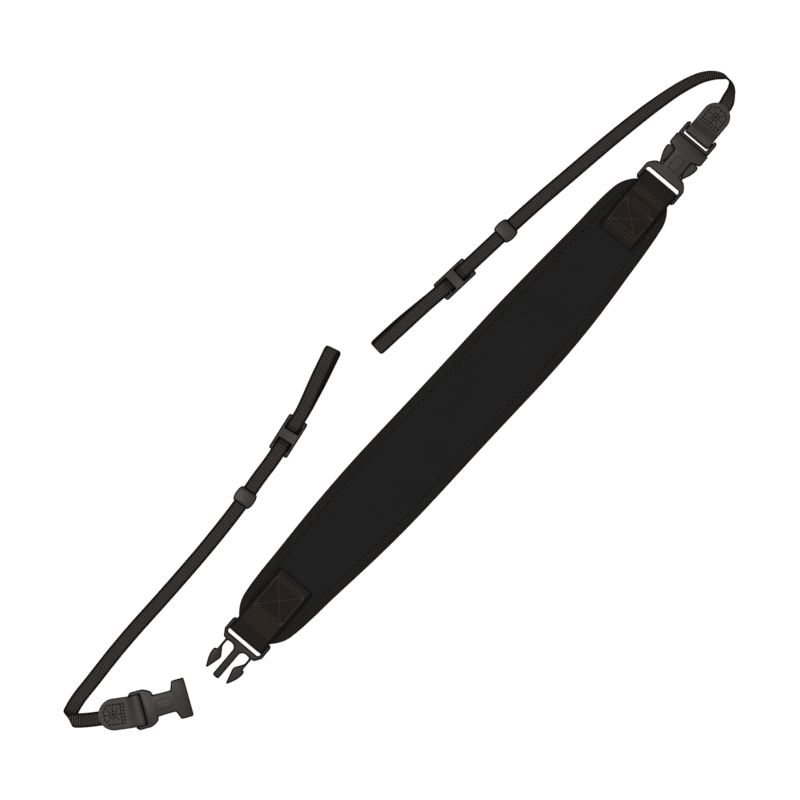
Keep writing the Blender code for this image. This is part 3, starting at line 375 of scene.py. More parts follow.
def sewingThread(name, light, dark, level=0.2):
    # bonded nylon sewing thread: smooth, slightly shiny, twisted
    made, tree, shader = newMaterial(name, Roughness=0.6, Specular_IOR_Level=level)
    twist = noise(tree, objectSpace(tree), 1200.0, 1.0)
    feed(tree, shader, {"Base Color": blend(tree, fromHex(dark), fromHex(light), twist)})
    return made


def mouldedAcetal(name, dark, light, level):
    # acetal, injection moulded with a fine spark-eroded texture: satin, warm dark grey
    made, tree, shader = newMaterial(name, Roughness=0.42, IOR=1.5, Specular_IOR_Level=level,
                                     Specular_Tint=(1.0, 0.93, 0.88, 1.0))
    where = objectSpace(tree)
    grit = noise(tree, where, 2600.0, 2.0, 0.6)
    flow = noise(tree, where, 90.0, 3.0, 0.6)
    feed(tree, shader, {"Base Color": blend(tree, fromHex(dark), fromHex(light), flow),
                        "Roughness": mapped(tree, flow, (0.0, 1.0), (0.36, 0.52)),
                        "Normal": bumped(tree, grit, 0.25, 0.05 * mm)})
    return made


def correctedGrain():
    # corrected-grain cowhide, dyed black and lightly waxed: soft gloss, fine pebbled grain
    made, tree, shader = newMaterial("correctedGrainLeather", Roughness=0.5, IOR=1.5,
                                     Specular_Tint=(1.0, 0.92, 0.86, 1.0))
    where = objectSpace(tree)
    pebble = addNode(tree, "ShaderNodeTexVoronoi", {"Scale": 1100.0, "feature": "SMOOTH_F1"},
                     {"Vector": where})
    cloud = noise(tree, where, 120.0, 4.0, 0.6)
    feed(tree, shader, {"Base Color": blend(tree, fromHex("#171412"), fromHex("#26211e"), cloud),
                        "Roughness": mapped(tree, cloud, (0.0, 1.0), (0.42, 0.62)),
                        "Normal": bumped(tree, pebble.outputs["Distance"], 0.3, 0.1 * mm)})
    return made


print("materials")
# each tape's edge colour is the painted shade along its rounded selvedges
finish = {
    "pad": padKnit(),
    "binding": wovenTape("grosgrainBinding", light="#26221f", dark="#110e0c", edge="#0f0d0c",
                         halfWidth=30 * mm, pickPitch=0.9 * mm, endPitch=0.7 * mm, pickShare=0.6),
    "tab": wovenTape("polypropyleneWebbing", light="#2d2621", dark="#080706", edge="#080706",
                     halfWidth=15.85 * mm, pickPitch=1.9 * mm, endPitch=1.5 * mm, pickShare=0.5),
    "strap": wovenTape("ribbedNylonWebbing", light="#4d4640", dark="#080706", edge="#060505",
                       halfWidth=5.45 * mm, pickPitch=1.7 * mm, endPitch=0.6 * mm, pickShare=0.85),
    "zigzag": sewingThread("bindingThread", light="#302a25", dark="#1f1a17"),
    "thread": sewingThread("bondedThread", light="#584a41", dark="#382e28"),
    "plastic": mouldedAcetal("mouldedAcetal", dark="#12100f", light="#1c1917", level=0.45),
    # painted shade: a darker, less glossy copy of the same acetal, for the left prongs
    "shadedPlastic": mouldedAcetal("mouldedAcetalShaded", dark="#100e0d", light="#1b1816", level=0.3),
    # painted shade: near-black acetal for the beads along the top outlines
    "shadeRim": mouldedAcetal("mouldedAcetalRim", dark="#070605", light="#0c0a09", level=0.05),
    "leather": correctedGrain(),
    # painted shade: near-black spindles for the shade in needle holes and in the notches of the binding
    # stitch
    "hole": sewingThread("paintedHoleShade", light="#0f0c0b", dark="#060505", level=0.03),
}


def dress(piece, material, slot, *nodes):
    piece.data.materials.append(material)
    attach(piece, "root")
    if nodes:
        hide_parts(*nodes)


# Neck pad and binding

pad = {
    "length": 455.4 * mm, "width": 66.2 * mm, "thick": 5.0 * mm, "endThick": 3.4 * mm, "sway": 3.3 * mm,
    "crown": 0.5 * mm,          # how much the foam swells between its bound edges
    "sunk": 0.25 * mm,          # its top at the binding, below the whole thickness
    "squeezed": (49.8 * mm, 45.0 * mm),     # length under the left and right tab
    "hiddenIn": 1.2 * mm,       # its bound edge, inwards from the outline
    "play": 0.05 * mm, "tuckedUnder": 0.2 * mm,
}
padOutline = {
    "station": (0.000, 0.430, 0.550, 0.650, 0.750, 0.850, 0.910, 0.945, 0.968, 0.985, 1.000),
    "width": (1.000, 0.990, 0.953, 0.906, 0.855, 0.812, 0.768, 0.722, 0.655, 0.577, 0.490),
}
padMiddle = {
    "station": (-1.00, -0.75, -0.40, 0.00, 0.30, 0.55, 0.75, 0.90, 1.00),
    "offset": (0.55, 0.53, 0.26, 0.00, -0.16, -0.03, 0.42, 0.88, 1.00),
}
binding = {
    "width": 7.4 * mm, "thick": 0.8 * mm,
    "scallop": 0.45 * mm,       # the zigzag stitch pulls the tape's inner edge in and out
    "pitch": 4.6 * mm,          # of the zigzag
    "wander": 9.0 * mm,         # length over which the tape's width drifts
    "raised": 0.12 * mm, "lip": 0.25 * mm, "fall": 0.25 * mm, "dimple": 0.11 * mm,
    "roundOver": 1.15 * mm,     # how far the rounded edge reaches inwards
    "edgeDrop": 0.1 * mm, "under": 0.02 * mm, "hem": 1.6 * mm,
    "stitchRows": (6.6 * mm, 2.9 * mm), "stitchRadius": 0.2 * mm, "stitchLift": 0.18 * mm,
    "notch": (-0.5 * mm, 0.7 * mm), "notchRadius": 0.45 * mm,
}


def padEdges(station):
    # half width, slant of the edge sqrt(1 + slope^2), middle line and thickness at each station
    half = 0.5 * pad["width"] * smoothTable(padOutline, "width", np.abs(station))
    slope = np.gradient(half, station * 0.5 * pad["length"])
    middle = pad["sway"] * smoothTable(padMiddle, "offset", station)
    fromEnd = 0.5 * pad["length"] * (1 - np.abs(station))
    squeezed = np.clip(1 - fromEnd / np.where(station < 0, *pad["squeezed"]), 0.0, 1.0)
    return half, np.sqrt(1 + slope ** 2), middle, pad["thick"] - (pad["thick"] - pad["endThick"]) * squeezed


def padStations(count):
    # sine spacing: closer together towards the ends
    return np.sin(np.linspace(-0.5 * math.pi, 0.5 * math.pi, count))


def wrapped(name, x, y, z, along, inward, sharpAngle=60.0):
    # sections of (y, z) set along x, with a UV map in metres along and round them
    uv = joined(along[:, None], inward)
    return gridMesh(name, joined(x[:, None], y, z), np.concatenate([uv, uv[:, :1]], axis=1),
                    sharpAngle=sharpAngle)


def buildPad():
    # a flat cushion: z = t + crown (1 - w^4) on top, w = -1..1 between the binding's inner edges;
    # under the binding it is thinner by the tape's thickness
    station = padStations(361)
    half, slant, middle, thick = padEdges(station)
    inside = binding["thick"] + pad["play"]
    inner = (half - (binding["width"] - pad["tuckedUnder"]) * slant)[:, None]
    outer = (half - pad["hiddenIn"])[:, None]
    w = padStations(41)
    top = joined(inner * w, thick[:, None] - pad["sunk"] + pad["crown"] * (1 - w ** 4))
    right = joined(inner + (outer - inner) * np.array([0.1, 0.5, 1.0]), (thick - inside)[:, None])
    low = right[:, ::-1].copy()
    low[..., 1] = inside
    bottom = joined(inner * w[::-1], pad["play"])
    left, leftTop = low[:, ::-1] * (-1, 1), right[:, ::-1] * (-1, 1)
    section = np.concatenate([top, right, low, bottom, left, leftTop], axis=1)
    x, y, z = 0.5 * pad["length"] * station, section[..., 0], section[..., 1]
    piece = wrapped("padCover", x, middle[:, None] + y, z, x, y, sharpAngle=75.0)
    dress(piece, finish["pad"], "foam", "neck_pad")


def buildBinding(name, side, node):
    # tape folded round the edge: its section is a U, and its inner edge follows
    # width = w + scallop * cos(2 pi s / pitch), with a dimple under each stitch
    station = padStations(1601)
    half, slant, middle, thick = padEdges(station)
    x = 0.5 * pad["length"] * station
    s = lengthAlong(np.stack([x, middle + side * half], axis=1))
    rng = np.random.default_rng(7 + int(side))
    wobble = np.interp(s, np.arange(0.0, s[-1] + binding["wander"], binding["wander"]),
                       rng.uniform(-1.0, 1.0, int(s[-1] / binding["wander"]) + 2))
    ripple = np.cos(2 * math.pi * s / binding["pitch"])
    width = binding["width"] + binding["scallop"] * (0.8 * ripple + 0.5 * wobble)
    shares = (1.0, 0.92, 0.75, 0.55, 0.35, 0.2)
    rows = []
    for share in shares:                  # top, from the inner edge outwards
        lip = binding["lip"] if share == 1.0 else 0.0
        dimple = binding["dimple"] * math.sin(math.pi * min(1.0, share * 1.15)) if share > 0.4 else 0.0
        rows.append((width * share,
                     thick + binding["raised"] - lip - binding["fall"] * (1 - share) ** 3 + dimple * ripple))
    for a in np.radians(np.linspace(0.0, 180.0, 9)):      # round the edge
        rows.append((binding["roundOver"] * (1 - np.sin(a)),
                     0.5 * thick + (0.5 * thick - binding["edgeDrop"]) * np.cos(a)))
    for share in shares[::-1]:            # underneath
        rows.append((width * share, binding["under"]))
    inner, hem = binding["thick"], binding["hem"]
    rows += [(width * 0.99, inner * 0.8), (hem, inner), (hem, thick - inner),
             (width * 0.99, thick - inner * 0.8)]
    inward, z = (np.stack([np.broadcast_to(row[k], s.shape) for row in rows], axis=1) for k in (0, 1))
    y = middle[:, None] + side * (half[:, None] - inward * slant[:, None])
    dress(wrapped(name, x, y, z, s, inward), finish["binding"], "binding", node)

    def onTape(at, inward, lift):
        # points above the tape, at a distance along its edge and a distance inwards
        y = np.interp(at, s, middle) + side * (np.interp(at, s, half) - inward * np.interp(at, s, slant))
        return np.stack([np.interp(at, s, x), y, np.interp(at, s, thick) + lift], axis=1)

    # zigzag stitches: from the inner row to the outer row and back, twice in each pitch
    count = int(s[-1] / (0.5 * binding["pitch"]))
    at = np.arange(count + 1) * 0.5 * binding["pitch"]
    spots = onTape(at, np.where(np.arange(count + 1) % 2 == 0, *binding["stitchRows"]), binding["stitchLift"])
    dress(threads(name + "Stitches", spots[:-1], spots[1:], binding["stitchRadius"]), finish["zigzag"],
          "binding")

    # the stitch pulls a notch into the panel at each inner turn; its shade is painted as near-black spindles
    # square to the edge
    notchShades = [onTape(at[::2], binding["width"] + past, binding["raised"]) for past in binding["notch"]]
    dress(threads(name + "NotchShades", *notchShades, binding["notchRadius"], bow=0.2), finish["hole"], "binding")


print("pad")
buildPad()
buildBinding("bindingFront", -1.0, "binding_front")
buildBinding("bindingBack", 1.0, "binding_back")


# Webbing tabs

tab = {
    "width": 31.7 * mm, "thick": 1.3 * mm, "turnUnder": 3.0 * mm, "gap": 0.3 * mm,
    "barHeight": 2.8 * mm, "bar": 3.0 * mm, "leftInset": 5.2 * mm, "rightInset": 4.9 * mm,
    "leftReach": 49.8 * mm, "rightReach": 45.0 * mm,
    "spread": 0.25 * mm,        # pressed against a slot's ends, the webbing is this much wider on each side
    "cord": 0.07 * mm, "cordPitch": 1.9 * mm,
    "leave": 0.6 * mm,          # where it leaves the pad's end
    "bends": (2.0 * mm, 3.0 * mm), "spacing": 0.45 * mm, "soften": 1.2 * mm,
}
place = {
    "rightSideways": -0.6 * mm, "rightStandoff": 1.4 * mm, "leftStandoff": 1.3 * mm, "leftSway": 0.55,
    "rightHeading": 2.4, "leftHeading": 182.2, "buckleMiddle": 4.2 * mm, "freeProngMiddle": 3.5 * mm,
    "wideSocket": 46.4 * mm, "leatherSocket": 44.4 * mm, "prongFrame": 17.1 * mm,
    "freeSocket": (-53.4 * mm, 3.9 * mm), "freeHeading": -32.0,
}
# stitch rows across the tabs, in mm inwards from the pad's end
tabSeams = {
    "tabStitchesLeft": {"bars": (2.0, 3.9, 5.8, 7.7, 9.6, 11.5, 13.6), "box": (44.0, 15.4),
                        "rows": (45.6, 42.2, 17.2), "short": ()},
    "tabStitchesRight": {"bars": (1.8, 3.5, 5.2, 6.9), "box": (37.6, 15.6),
                         "rows": (40.0, 34.8, 17.4), "short": (13.8, 11.9)},
}
stitch = {
    "gap": 0.5 * mm, "rowHalf": 13.6 * mm, "boxHalf": 13.4 * mm, "shortHalf": 9.0 * mm,
    "tabLength": 2.3 * mm, "tabRadius": 0.36 * mm,
    "leatherLength": 2.6 * mm, "leatherRadius": 0.2 * mm, "hole": 0.95 * mm,
}


def tabRelief(s, y):
    # cords along the webbing: height * |cos(pi * across / pitch)|, flat towards the selvedges
    return (tab["cord"] * np.abs(np.cos(math.pi * y * 0.5 * tab["width"] / tab["cordPitch"]))
            * (1 - np.abs(y) ** 8))


def buildTab(name, route, reach, barFar, middleZ, node):
    # the webbing's path in the buckle's plane: along the pad, up round the bar and back beneath itself
    over = 0.5 * tab["barHeight"] + tab["gap"] + 0.5 * tab["thick"]
    fold = barFar + tab["bar"] + tab["gap"] + 0.5 * tab["thick"]
    lowerEnd = pad["endThick"] + tab["gap"] + 0.5 * tab["thick"]
    lowerStart = pad["thick"] + tab["gap"] + 0.5 * tab["thick"]
    step = tab["thick"] + tab["gap"]
    slope = (lowerEnd - lowerStart) / reach
    leave, under = tab["leave"], tab["turnUnder"]
    corners = [(-reach, lowerStart + step), (leave, lowerEnd + step), (barFar, middleZ + over),
               (fold, middleZ + over), (fold, middleZ - over), (barFar, middleZ - over),
               (leave, lowerEnd), (under - reach, lowerStart + slope * under)]
    path = roundedPath(corners, [*tab["bends"], over, over, tab["thick"], tab["thick"]])
    line = evenly(*layOnRoute(route, path), tab["spacing"], tab["soften"])
    piece = tape(name, line, 0.5 * tab["width"] + tab["spread"], 0.5 * tab["thick"], 61, tabRelief, corner=10)
    dress(piece, finish["tab"], "webbing", node)
    return lambda d: lowerEnd + step + 0.5 * tab["thick"] + slope * d


def stitchLines(name, route, top, segments, slot, thread, length, radius, hole=0.0):
    # each segment (d0, y0) to (d1, y1) is cut into stitches of one length, laid at the height top(d);
    # a needle hole's shade is painted as a short, thick, near-black spindle at each end of a stitch
    starts, ends = [], []
    for d0, y0, d1, y1 in segments:
        a, b = np.array([d0, y0]), np.array([d1, y1])
        run = np.linalg.norm(b - a)
        count = max(1, int(round(run / length)))
        k = np.arange(count)
        trim = 0.5 * stitch["gap"] / run
        starts.append(a + (b - a) * (k / count + trim)[:, None])
        ends.append(a + (b - a) * ((k + 1) / count - trim)[:, None])
    starts, ends = np.concatenate(starts), np.concatenate(ends)

    def lift(flat):
        middle, across = layOnRoute(route, np.column_stack([flat[:, 0], top(flat[:, 0])]))
        return middle + across * flat[:, 1:2]

    dress(threads(name, lift(starts), lift(ends), radius), finish[thread], slot)
    if hole > 0.0:
        run = (ends - starts) / np.linalg.norm(ends - starts, axis=1)[:, None]
        centres = np.concatenate([starts, ends])
        half = 0.6 * hole * np.concatenate([run, run])
        dress(threads(name + "HoleShades", lift(centres - half), lift(centres + half), hole, bow=0.0),
              finish["hole"], slot)


def sewTab(name, route, top):
    # rows across, a box with both its diagonals, and more rows beside it
    seams = tabSeams[name]
    d0, d1 = (-d * mm for d in seams["box"])
    half = stitch["boxHalf"]
    box = [(d0, -half, d1, -half), (d1, -half, d1, half), (d1, half, d0, half), (d0, half, d0, -half),
           (d0, -half, d1, half), (d0, half, d1, -half)]

    def rows(key, width):
        return [(-d * mm, -width, -d * mm, width) for d in seams[key]]

    segments = (rows("bars", stitch["rowHalf"]) + box + rows("rows", stitch["rowHalf"])
                + rows("short", stitch["shortHalf"]))
    stitchLines(name, route, top, segments, "webbing", "thread", stitch["tabLength"], stitch["tabRadius"])


padEnd = 0.5 * pad["length"]
rightRoute = planRoute((padEnd, pad["sway"] + place["rightSideways"]), (-pad["length"], pad["length"]),
                       (place["rightHeading"],) * 2)
leftRoute = planRoute((-padEnd, place["leftSway"] * pad["sway"]), (-pad["length"], pad["length"]),
                      (place["leftHeading"],) * 2)

print("webbing tabs")
topRight = buildTab("tabRight", rightRoute, tab["rightReach"], place["rightStandoff"] + tab["rightInset"],
                    place["buckleMiddle"], "webbing_tab_right")
topLeft = buildTab("tabLeft", leftRoute, tab["leftReach"], place["leftStandoff"] + tab["leftInset"],
                   place["freeProngMiddle"], "webbing_tab_left")
sewTab("tabStitchesLeft", leftRoute, topLeft)
sewTab("tabStitchesRight", rightRoute, topRight)


# Leather tabs

leather = {
    "leftWidth": 24.0 * mm, "rightWidth": 22.3 * mm, "thick": 1.4 * mm, "floor": 0.2 * mm, "gap": 0.3 * mm,
    "leftLength": 35.2 * mm, "rightLength": 35.15 * mm, "leftTurn": -7.5, "turnLength": 8.0 * mm,
    "leftSpread": 0.6 * mm, "leftSlack": 0.35 * mm,     # it fills the free socket's slot
    "socketBar": 3.3 * mm, "socketInset": 3.5 * mm, "prongBar": 4.9 * mm, "prongNear": 5.8 * mm,
    "strapThick": 1.2 * mm, "strapStart": 0.65 * mm, "strapSide": 1.5 * mm,
    "down": 7.0 * mm,           # from the bar to where it lies flat again
    "bend": 8.0 * mm, "spacing": 0.35 * mm, "soften": 1.0 * mm,
    "blunt": 0.12, "bluntLength": 0.2 * mm,             # share of the width that each tip starts with
    "thinned": 0.1 * mm, "thinnedWidth": 0.9 * mm,      # its cut edges are pressed thinner
}
# a stitched box with a narrowed end and an eight-armed star in it; distances from the tip
leatherSeams = {
    "start": 20.0 * mm, "end": 4.5 * mm, "half": 7.6 * mm, "second": 2.2 * mm,
    "corner": 3.0 * mm, "narrowed": 0.4, "starShift": 1.6 * mm, "arm": 5.8 * mm,
}


def buildLeather(name, route, barNear, barFar, length, width, slack, node):
    # folded round the bar; each layer ends in half an ellipse: half width = r sqrt(1 - past^2)
    middleZ = place["buckleMiddle"]
    over = 0.5 * tab["barHeight"] + leather["gap"] + 0.5 * leather["thick"]
    low = leather["floor"] + 0.5 * leather["thick"]
    step = leather["thick"] + leather["strapThick"] + 2 * leather["gap"]
    fold = barNear - leather["gap"] - 0.5 * leather["thick"]
    tip = fold - 0.5 * leather["thick"] + length
    fold -= slack
    down, bend = barFar + leather["down"], leather["bend"]
    corners = [(tip, low), (down, low), (barFar, middleZ - over), (fold, middleZ - over),
               (fold, middleZ + over), (barFar, middleZ + over), (down, low + step), (tip, low + step)]
    path = roundedPath(corners, [bend, bend, over, over, bend, bend])
    line = evenly(*layOnRoute(route, path), leather["spacing"], leather["soften"])
    radius = 0.5 * width
    fromEnd = np.minimum(line["s"], line["s"][-1] - line["s"])
    shape = np.sqrt(1 - np.clip(1 - fromEnd / radius, 0.0, 0.9995) ** 2)
    shape = np.where(fromEnd < leather["bluntLength"], np.maximum(shape, leather["blunt"]), shape)

    def relief(s, y):
        # -depth * exp(-(distance from the edge / reach)^2)
        return -leather["thinned"] * np.exp(-((1 - np.abs(y)) * radius / leather["thinnedWidth"]) ** 2)

    piece = tape(name, line, radius, 0.5 * leather["thick"], 25, relief, corner=14, widthAlong=shape[:, None])
    dress(piece, finish["leather"], "leather", node)
    return tip, low + 0.5 * step, low + step + 0.5 * leather["thick"]


def sewLeather(name, route, tip, topZ):
    # two rows across beside the smooth fold, the box and its star
    seams = leatherSeams
    d0, d1, half = tip - seams["start"], tip - seams["end"], seams["half"]
    second, bend = d0 + seams["second"], d1 - seams["corner"]
    narrow, arm = seams["narrowed"] * half, seams["arm"]
    mid = 0.5 * (d0 + seams["starShift"] + d1)
    rows = [(d0, -half, d0, half), (second, -half, second, half), (d0, half, bend, half),
            (d0, -half, bend, -half), (bend, half, d1, narrow), (d1, narrow, d1, -narrow),
            (d1, -narrow, bend, -half)]
    star = [(mid - arm * math.cos(a), -arm * math.sin(a), mid + arm * math.cos(a), arm * math.sin(a))
            for a in np.radians([45.0, 90.0, 135.0, 0.0])]
    stitchLines(name, route, lambda d: np.full(len(d), topZ), rows + star, "leather", "zigzag",
                stitch["leatherLength"], stitch["leatherRadius"], stitch["hole"])


print("leather tabs")
near = place["rightStandoff"] + place["wideSocket"] + leather["prongNear"]
rightTip, strapHeight, leatherTop = buildLeather(
    "leatherRight", rightRoute, near, near + leather["prongBar"], leather["rightLength"],
    leather["rightWidth"], 0.0, "leather_tab_right")

free = routePoint(leftRoute, place["leftStandoff"] + place["prongFrame"]) + place["freeSocket"]
away = place["freeHeading"] + 180.0
turned = away + leather["leftTurn"]
socket = place["leatherSocket"]
far = socket - leather["socketInset"]
bent = planRoute(free, (-socket, far, far + leather["turnLength"], 3 * socket), (away, away, turned, turned))
leftTip, strapHeight, leatherTop = buildLeather(
    "leatherLeft", bent, far - leather["socketBar"], far, leather["leftLength"],
    leather["leftWidth"] + leather["leftSpread"], leather["leftSlack"], "leather_tab_left")
sewLeather("leatherStitchesRight", rightRoute, rightTip, leatherTop)
sewLeather("leatherStitchesLeft", bent, leftTip, leatherTop)


# Narrow straps

strap = {
    "width": 10.9 * mm, "thick": 1.2 * mm, "tuck": 10.0 * mm, "gap": 0.3 * mm, "floorGap": 0.05 * mm,
    "spread": 0.25 * mm,        # as on the tabs
    "foldHeight": 8.2 * mm, "approach": 17.9 * mm, "foldIn": 131.0, "foldOut": 15.0, "foldLift": 2.6 * mm,
    "loopOpen": 5.9 * mm, "splayStart": 20.0 * mm, "ribPitch": 1.7 * mm, "ribHeight": 0.13 * mm,
    "gentle": 20.0 * mm, "medium": 12.0 * mm, "sharp": 6.0 * mm,    # radii of its bends
    "snug": 0.4 * mm,           # added to both layers for the radius of the bends in the slider
    "tailRamp": 9.0 * mm, "step": 1.0 * mm, "loopRamp": 11.0 * mm, "under": 3.0 * mm, "landed": 14.0 * mm,
    "finest": 1.2 * mm, "spacing": 0.21 * mm, "soften": 0.9 * mm,
}
slider = {
    "length": 30.8 * mm, "thick": 2.4 * mm, "centreBar": 8.3 * mm, "endBar": 4.6 * mm, "weaveSlope": 56.0,
}
keeper = {"length": 11.8 * mm, "wall": 1.0 * mm, "flatShare": 0.8}
# length from the leather (or the fold) to the loop's end, and places measured back from that end
rightStrap = {
    "run": 371.3 * mm, "tail": 178.0 * mm, "keeper": 135.3 * mm, "slider": 81.2 * mm, "splay": 0.9 * mm,
}
leftStrap = {
    "run": 346.3 * mm, "tail": 171.8 * mm, "keeper": 134.2 * mm, "slider": 76.3 * mm, "splay": 1.1 * mm,
}
rightTable = {
    "share": (0.000, 0.012, 0.031, 0.049, 0.060, 0.073, 0.094, 0.131, 0.187, 0.270, 0.400, 0.500, 0.640,
              0.780, 0.840, 1.000),
    "heading": (2.4, 23.0, 24.0, 53.7, 88.5, 115.4, 136.3, 157.0, 166.2, 170.4, 173.1, 172.7, 175.5, 175.6,
                172.2, 175.8),
    "roll": (0.0, 14.0, 42.0, 66.0, 80.0, 62.0, 46.0, 35.0, 29.0, 17.0, 2.0, 0.0, 0.0, 0.0, 0.0, 0.0),
}
leftTable = {
    "share": (0.000, 0.050, 0.110, 0.260, 0.420, 0.550, 0.640, 0.690, 0.735, 0.828, 0.862, 1.000),
    "heading": (15.0, 3.0, 4.8, 0.2, 1.6, 4.4, 8.1, 4.4, 9.5, 10.8, 16.4, 16.6),
}
strapFloor = strap["floorGap"] + 0.5 * strap["thick"]
loopRadius = 0.5 * (strap["loopOpen"] + strap["thick"])


def narrowPath(places, start):
    # (distance, height): out over the doubled stretch, round the loop's end and back to the tail
    run = places["run"]
    tail, hold, mid = run - places["tail"], run - places["keeper"], run - places["slider"]
    gentle, medium, sharp = strap["gentle"], strap["medium"], strap["sharp"]
    pair = strap["thick"] + 0.5 * strap["gap"]
    under = strap["floorGap"] + pair
    over = under + pair + strap["gap"] + slider["thick"] + strap["gap"] + pair
    kept = strap["floorGap"] + keeper["wall"] + strap["gap"] + pair
    half, bar = 0.5 * slider["length"], 0.5 * slider["centreBar"]
    slot = 0.5 * (bar + half - slider["endBar"])
    rise = 0.5 * (over - under) / math.tan(math.radians(slider["weaveSlope"]))
    flat = keeper["flatShare"] * keeper["length"]
    tight = strap["thick"] + strap["gap"] + strap["snug"]
    middle = roundedPath([(tail, under), (hold - flat, kept), (hold + flat, kept), (mid - half, over),
                          (mid - slot - rise, over), (mid - slot + rise, under), (mid + slot - rise, under),
                          (mid + slot + rise, over), (mid + half, over)],
                         [gentle, gentle, medium, tight, tight, tight, tight])
    shift = 0.5 * (strap["thick"] + strap["gap"])
    upper, lower = offsetPath(middle, shift), offsetPath(middle, -shift)
    bend = run - 0.5 * strap["thick"] - loopRadius
    a = np.radians(np.linspace(90.0, -90.0, 25))
    end = np.column_stack([bend + loopRadius * np.cos(a), strapFloor + loopRadius + loopRadius * np.sin(a)])
    lead = roundedPath([*start, (tail - strap["tailRamp"], strapFloor),
                        (tail - strap["step"], strapFloor + strap["thick"] + strap["gap"]), upper[1]],
                       [sharp] * (len(start) - 1) + [medium, medium])
    drop = mid + half + strap["loopRamp"]
    climb = roundedPath([end[-1], (drop, strapFloor), (mid + half + strap["step"], lower[-1][1]), lower[-2]],
                        [medium, sharp])
    highest = strapFloor + 2 * loopRadius
    path = np.concatenate([lead[:-1], upper[1:], [(drop, 0.5 * (highest + upper[-1][1]))], end[:-1],
                           climb[:-1], lower[-2::-1]])
    # the same path with points at most finest apart
    length = lengthAlong(path)
    fine = np.arange(0.0, length[-1], strap["finest"])
    return resample(np.unique(np.concatenate([length, fine])), length, path)


def loopSplay(path, places):
    # sideways shift = splay * (height from the loop's middle / radius), growing along the loop
    height = np.clip((path[:, 1] - strapFloor - loopRadius) / loopRadius, -1.0, 1.0)
    start = places["run"] - places["slider"] + 0.5 * slider["length"]
    return places["splay"] * height * ease(start, places["run"] - strap["splayStart"], path[:, 0])


def ribs(s, y):
    # ribs across the webbing, some taller than others, flat towards the selvedges:
    # height * (0.75 + 0.25 sin(1.7 s / pitch)) * -0.5 cos(2 pi s / pitch) * (1 - |y|^6)
    turns = s / strap["ribPitch"]
    uneven = 0.75 + 0.25 * np.sin(1.7 * turns)
    return -0.5 * strap["ribHeight"] * uneven * np.cos(2 * math.pi * turns) * (1 - np.abs(y) ** 6)


def weaveStrap(name, middle, across, node):
    line = evenly(middle, across, strap["spacing"], strap["soften"])
    piece = tape(name, line, 0.5 * strap["width"] + strap["spread"], 0.5 * strap["thick"], 10, ribs)
    dress(piece, finish["strap"], "webbing", node)


def buildRightStrap():
    run = rightStrap["run"]
    route = planRoute(routePoint(rightRoute, rightTip - leather["strapStart"]),
                      [-2 * strap["tuck"], *(share * run for share in rightTable["share"])],
                      [place["rightHeading"], *rightTable["heading"]])
    path = narrowPath(rightStrap, [(-strap["tuck"], strapHeight), (strap["under"], strapHeight),
                                   (strap["landed"], strapFloor)])
    roll = smoothTable(rightTable, "roll", np.clip(path[:, 0] / run, 0.0, 1.0), "share")
    middle, across = layOnRoute(route, path, 1.0, roll, strap["width"], loopSplay(path, rightStrap))
    weaveStrap("strapRight", middle, across, "strap_right")


def buildLeftStrap():
    # climbs from the leather, turns over a slanted half cylinder and comes back on the table:
    # p = top + r sin(a) outward + r a / tan(lean) along, z = floor + r + r cos(a) + lift
    def directions(turn):
        return np.array([math.cos(turn), math.sin(turn)]), np.array([-math.sin(turn), math.cos(turn)])

    heading = np.interp(leftTip, bent["s"], bent["turn"])
    ahead, left = directions(heading)
    start = routePoint(bent, leftTip - leather["strapStart"]) + leather["strapSide"] * left
    radius = 0.5 * strap["foldHeight"]
    into = np.radians(strap["foldIn"])
    axis = 0.5 * np.radians(strap["foldIn"] + strap["foldOut"])
    along, outward = directions(axis)
    lean = into - axis
    steps = 24
    t = np.linspace(0.0, 1.0, steps)
    turn = heading + (into - heading) * t
    stepXy = strap["approach"] / (steps - 1) * np.stack([np.cos(turn[1:]), np.sin(turn[1:])], axis=1)
    xy = start + np.concatenate([[[0.0, 0.0]], np.cumsum(stepXy, axis=0)])
    z = strapHeight + (strapFloor + 2 * radius - strapHeight) * ease(0.0, 1.0, t)
    climb = np.concatenate([[[*(start - strap["tuck"] * ahead), strapHeight]], np.column_stack([xy, z])])
    turn = np.concatenate([[heading], turn])
    climbAcross = joined(-np.sin(turn), np.cos(turn), 0.0)
    angle = np.linspace(0.0, math.pi, 40)[1:]
    foldXy = (xy[-1] + np.outer(radius * np.sin(angle), outward)
              + np.outer(radius / math.tan(lean) * angle, along))
    lift = strap["foldLift"] * np.sin(angle) * 0.5 * (1 - np.cos(angle))
    fold = np.column_stack([foldXy, strapFloor + radius + radius * np.cos(angle) + lift])
    foldAcross = np.column_stack([np.outer(math.cos(lean) * np.cos(angle), outward) - math.sin(lean) * along,
                                  -math.cos(lean) * np.sin(angle)])
    route = planRoute(foldXy[-1], leftStrap["run"] * np.array(leftTable["share"]), leftTable["heading"])
    path = narrowPath(leftStrap, [(0.0, strapFloor), (20 * mm, strapFloor)])
    middle, across = layOnRoute(route, path, -1.0, shift=loopSplay(path, leftStrap))
    weaveStrap("strapLeft", np.concatenate([climb, fold, middle[1:]]),
               np.concatenate([climbAcross, foldAcross, across[1:]]), "strap_left")


print("narrow straps")
buildRightStrap()
buildLeftStrap()


# Plastic hardware

# near-black beads of painted shade along the plastic parts' top outlines
shadeRim = {
    "radius": 0.62 * mm,        # half the width of the border of painted shade
    "rise": 0.3 * mm,
    "sunk": 0.14 * mm,
    "spacing": 0.45 * mm,
    "steepest": 0.85,           # a face whose normal's z is above this belongs to the top
    "above": 0.2 * mm,          # how far above the piece's middle a border has to lie
    "merged": 0.01 * mm,
}
# the outline of the painted shade on each socket's neck
panel = {"near": -13.6, "far": -25.4, "half": 3.7, "height": 8.2 * mm, "radius": 0.22 * mm}


